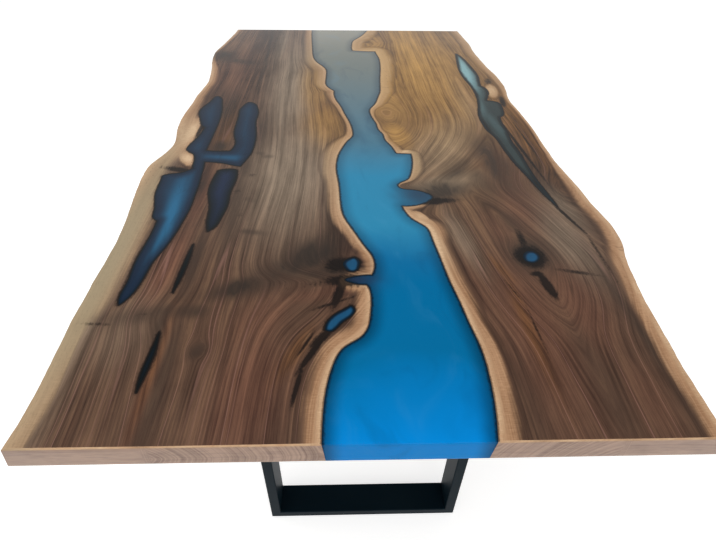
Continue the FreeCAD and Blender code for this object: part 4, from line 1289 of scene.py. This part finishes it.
class BuildSlabs(bpy.types.Operator):
    """Build the two walnut slabs, with their live edges, grain, knots and sapwood"""
    bl_idname = "river_table.slabs"
    bl_label = "Walnut slabs"

    def execute(self, context):
        wood = settings().walnut
        material = walnut_material(wood)
        make_slab("left_slab", LEFT_SLAB, material, wood)
        make_slab("right_slab", RIGHT_SLAB, material, wood)
        return {"FINISHED"}


class BuildRiver(bpy.types.Operator):
    """Build the pearly blue river between the slabs"""
    bl_idname = "river_table.river"
    bl_label = "Resin river"

    def execute(self, context):
        resin = settings().resin
        make_cast("river_resin", "river_pour", pearl_resin_material(resin),
                  resin.face_size, 2 * resin.face_size, RIVER_SMOKE)
        return {"FINISHED"}


class BuildInlays(bpy.types.Operator):
    """Build the resin that fills the slabs' hollows, knots and cracks"""
    bl_idname = "river_table.inlays"
    bl_label = "Resin inlays"

    def execute(self, context):
        resin = settings().resin
        branched = inlay_material("inlay_branched", resin.inlay_deep, resin.inlay_bright, resin.edge,
                                  shade_fades_from=0.0, shade_fades_to=0.035, calm=0.18)
        channel = inlay_material("inlay_channel", resin.channel_deep, resin.channel_bright, resin.channel_edge,
                                 shade_fades_from=0.001, shade_fades_to=0.014, calm=0.07)
        knots = inlay_material("inlay_knots", resin.inlay_deep, resin.knot_blue, resin.edge,
                               shade_fades_from=0.002, shade_fades_to=0.009, calm=0.5)
        smoky = inlay_material("inlay_smoky", resin.dark, resin.dark_bright, resin.dark_edge,
                               shade_fades_from=0.0, shade_fades_to=0.03, calm=0.5)
        for node_name, material, slot, glow in (
                ("branched_inlay", branched, "inlay_resin", BRANCHED_GLOW),
                ("edge_channel_inlay", channel, "inlay_resin", CHANNEL_GLOW),
                ("riverside_knot_inlay", knots, "inlay_resin", ()),
                ("slanted_knot_inlay", knots, "inlay_resin", ()),
                ("right_knot_inlay", knots, "inlay_resin", ()),
                ("dark_pocket_inlay", smoky, "dark_resin", ()),
                ("front_crack_fill", smoky, "dark_resin", ()),
                ("middle_crack_fill", smoky, "dark_resin", ())):
            make_cast(node_name, node_name + "_pour", material, resin.face_size / 2, resin.face_size, glow)
        return {"FINISHED"}


class DressFrames(bpy.types.Operator):
    """Give the leg frames, fasteners and feet their finishes"""
    bl_idname = "river_table.frames"
    bl_label = "Steel frames and feet"

    def execute(self, context):
        steel = settings().steel
        powder = powder_coat_material(steel)
        zinc = bare_metal_material("zinc_plated", steel.zinc, steel.tarnish, 400)
        brass = bare_metal_material("turned_brass", steel.brass, steel.tarnish, 300)
        plastic = foot_plastic_material(steel)
        pieces_by_finish = (
            (powder, ("foot_bar", "left_post", "right_post", "mounting_plate", "stiffener")),
            (zinc, ("stiffener_screws", "leg_bolts", "leg_washers", "foot_nuts", "left_foot_stem",
                    "right_foot_stem")),
            (brass, ("leg_inserts",)),
            (plastic, ("left_foot_pad", "right_foot_pad")),
        )
        for end in ENDS:
            for finish, pieces in pieces_by_finish:
                for piece in pieces:
                    for slot in frame["nodes"][end + "_" + piece].material_slots:
                        slot.material = finish
        return {"FINISHED"}


class RiverTablePanel(bpy.types.Panel):
    """The river table's operators and settings"""
    bl_idname = "VIEW3D_PT_river_table"
    bl_label = "River Table"
    bl_space_type = "VIEW_3D"
    bl_region_type = "UI"
    bl_category = "River Table"

    def draw(self, context):
        for operator in OPERATORS:
            self.layout.operator(operator.bl_idname)
        table = settings()
        for group in (table.walnut, table.resin, table.steel, table.studio):
            box = self.layout.box()
            for name in group.bl_rna.properties.keys():
                if name not in ("rna_type", "name"):
                    box.prop(group, name)


GROUPS = (WalnutSettings, ResinSettings, SteelSettings, StudioSettings, RiverTableSettings)
OPERATORS = (BuildStudio, BuildSlabs, BuildRiver, BuildInlays, DressFrames)
CLASSES = (*GROUPS, *OPERATORS, RiverTablePanel)


def register():
    for cls in CLASSES:
        bpy.utils.register_class(cls)
    bpy.types.Scene.river_table = bpy.props.PointerProperty(type=RiverTableSettings)


def unregister():
    del bpy.types.Scene.river_table
    for cls in reversed(CLASSES):
        bpy.utils.unregister_class(cls)


def main():
    """Build everything in order."""
    register()
    bpy.ops.river_table.studio()
    bpy.ops.river_table.slabs()
    bpy.ops.river_table.river()
    bpy.ops.river_table.inlays()
    bpy.ops.river_table.frames()


if __name__ == "__main__":
    main()
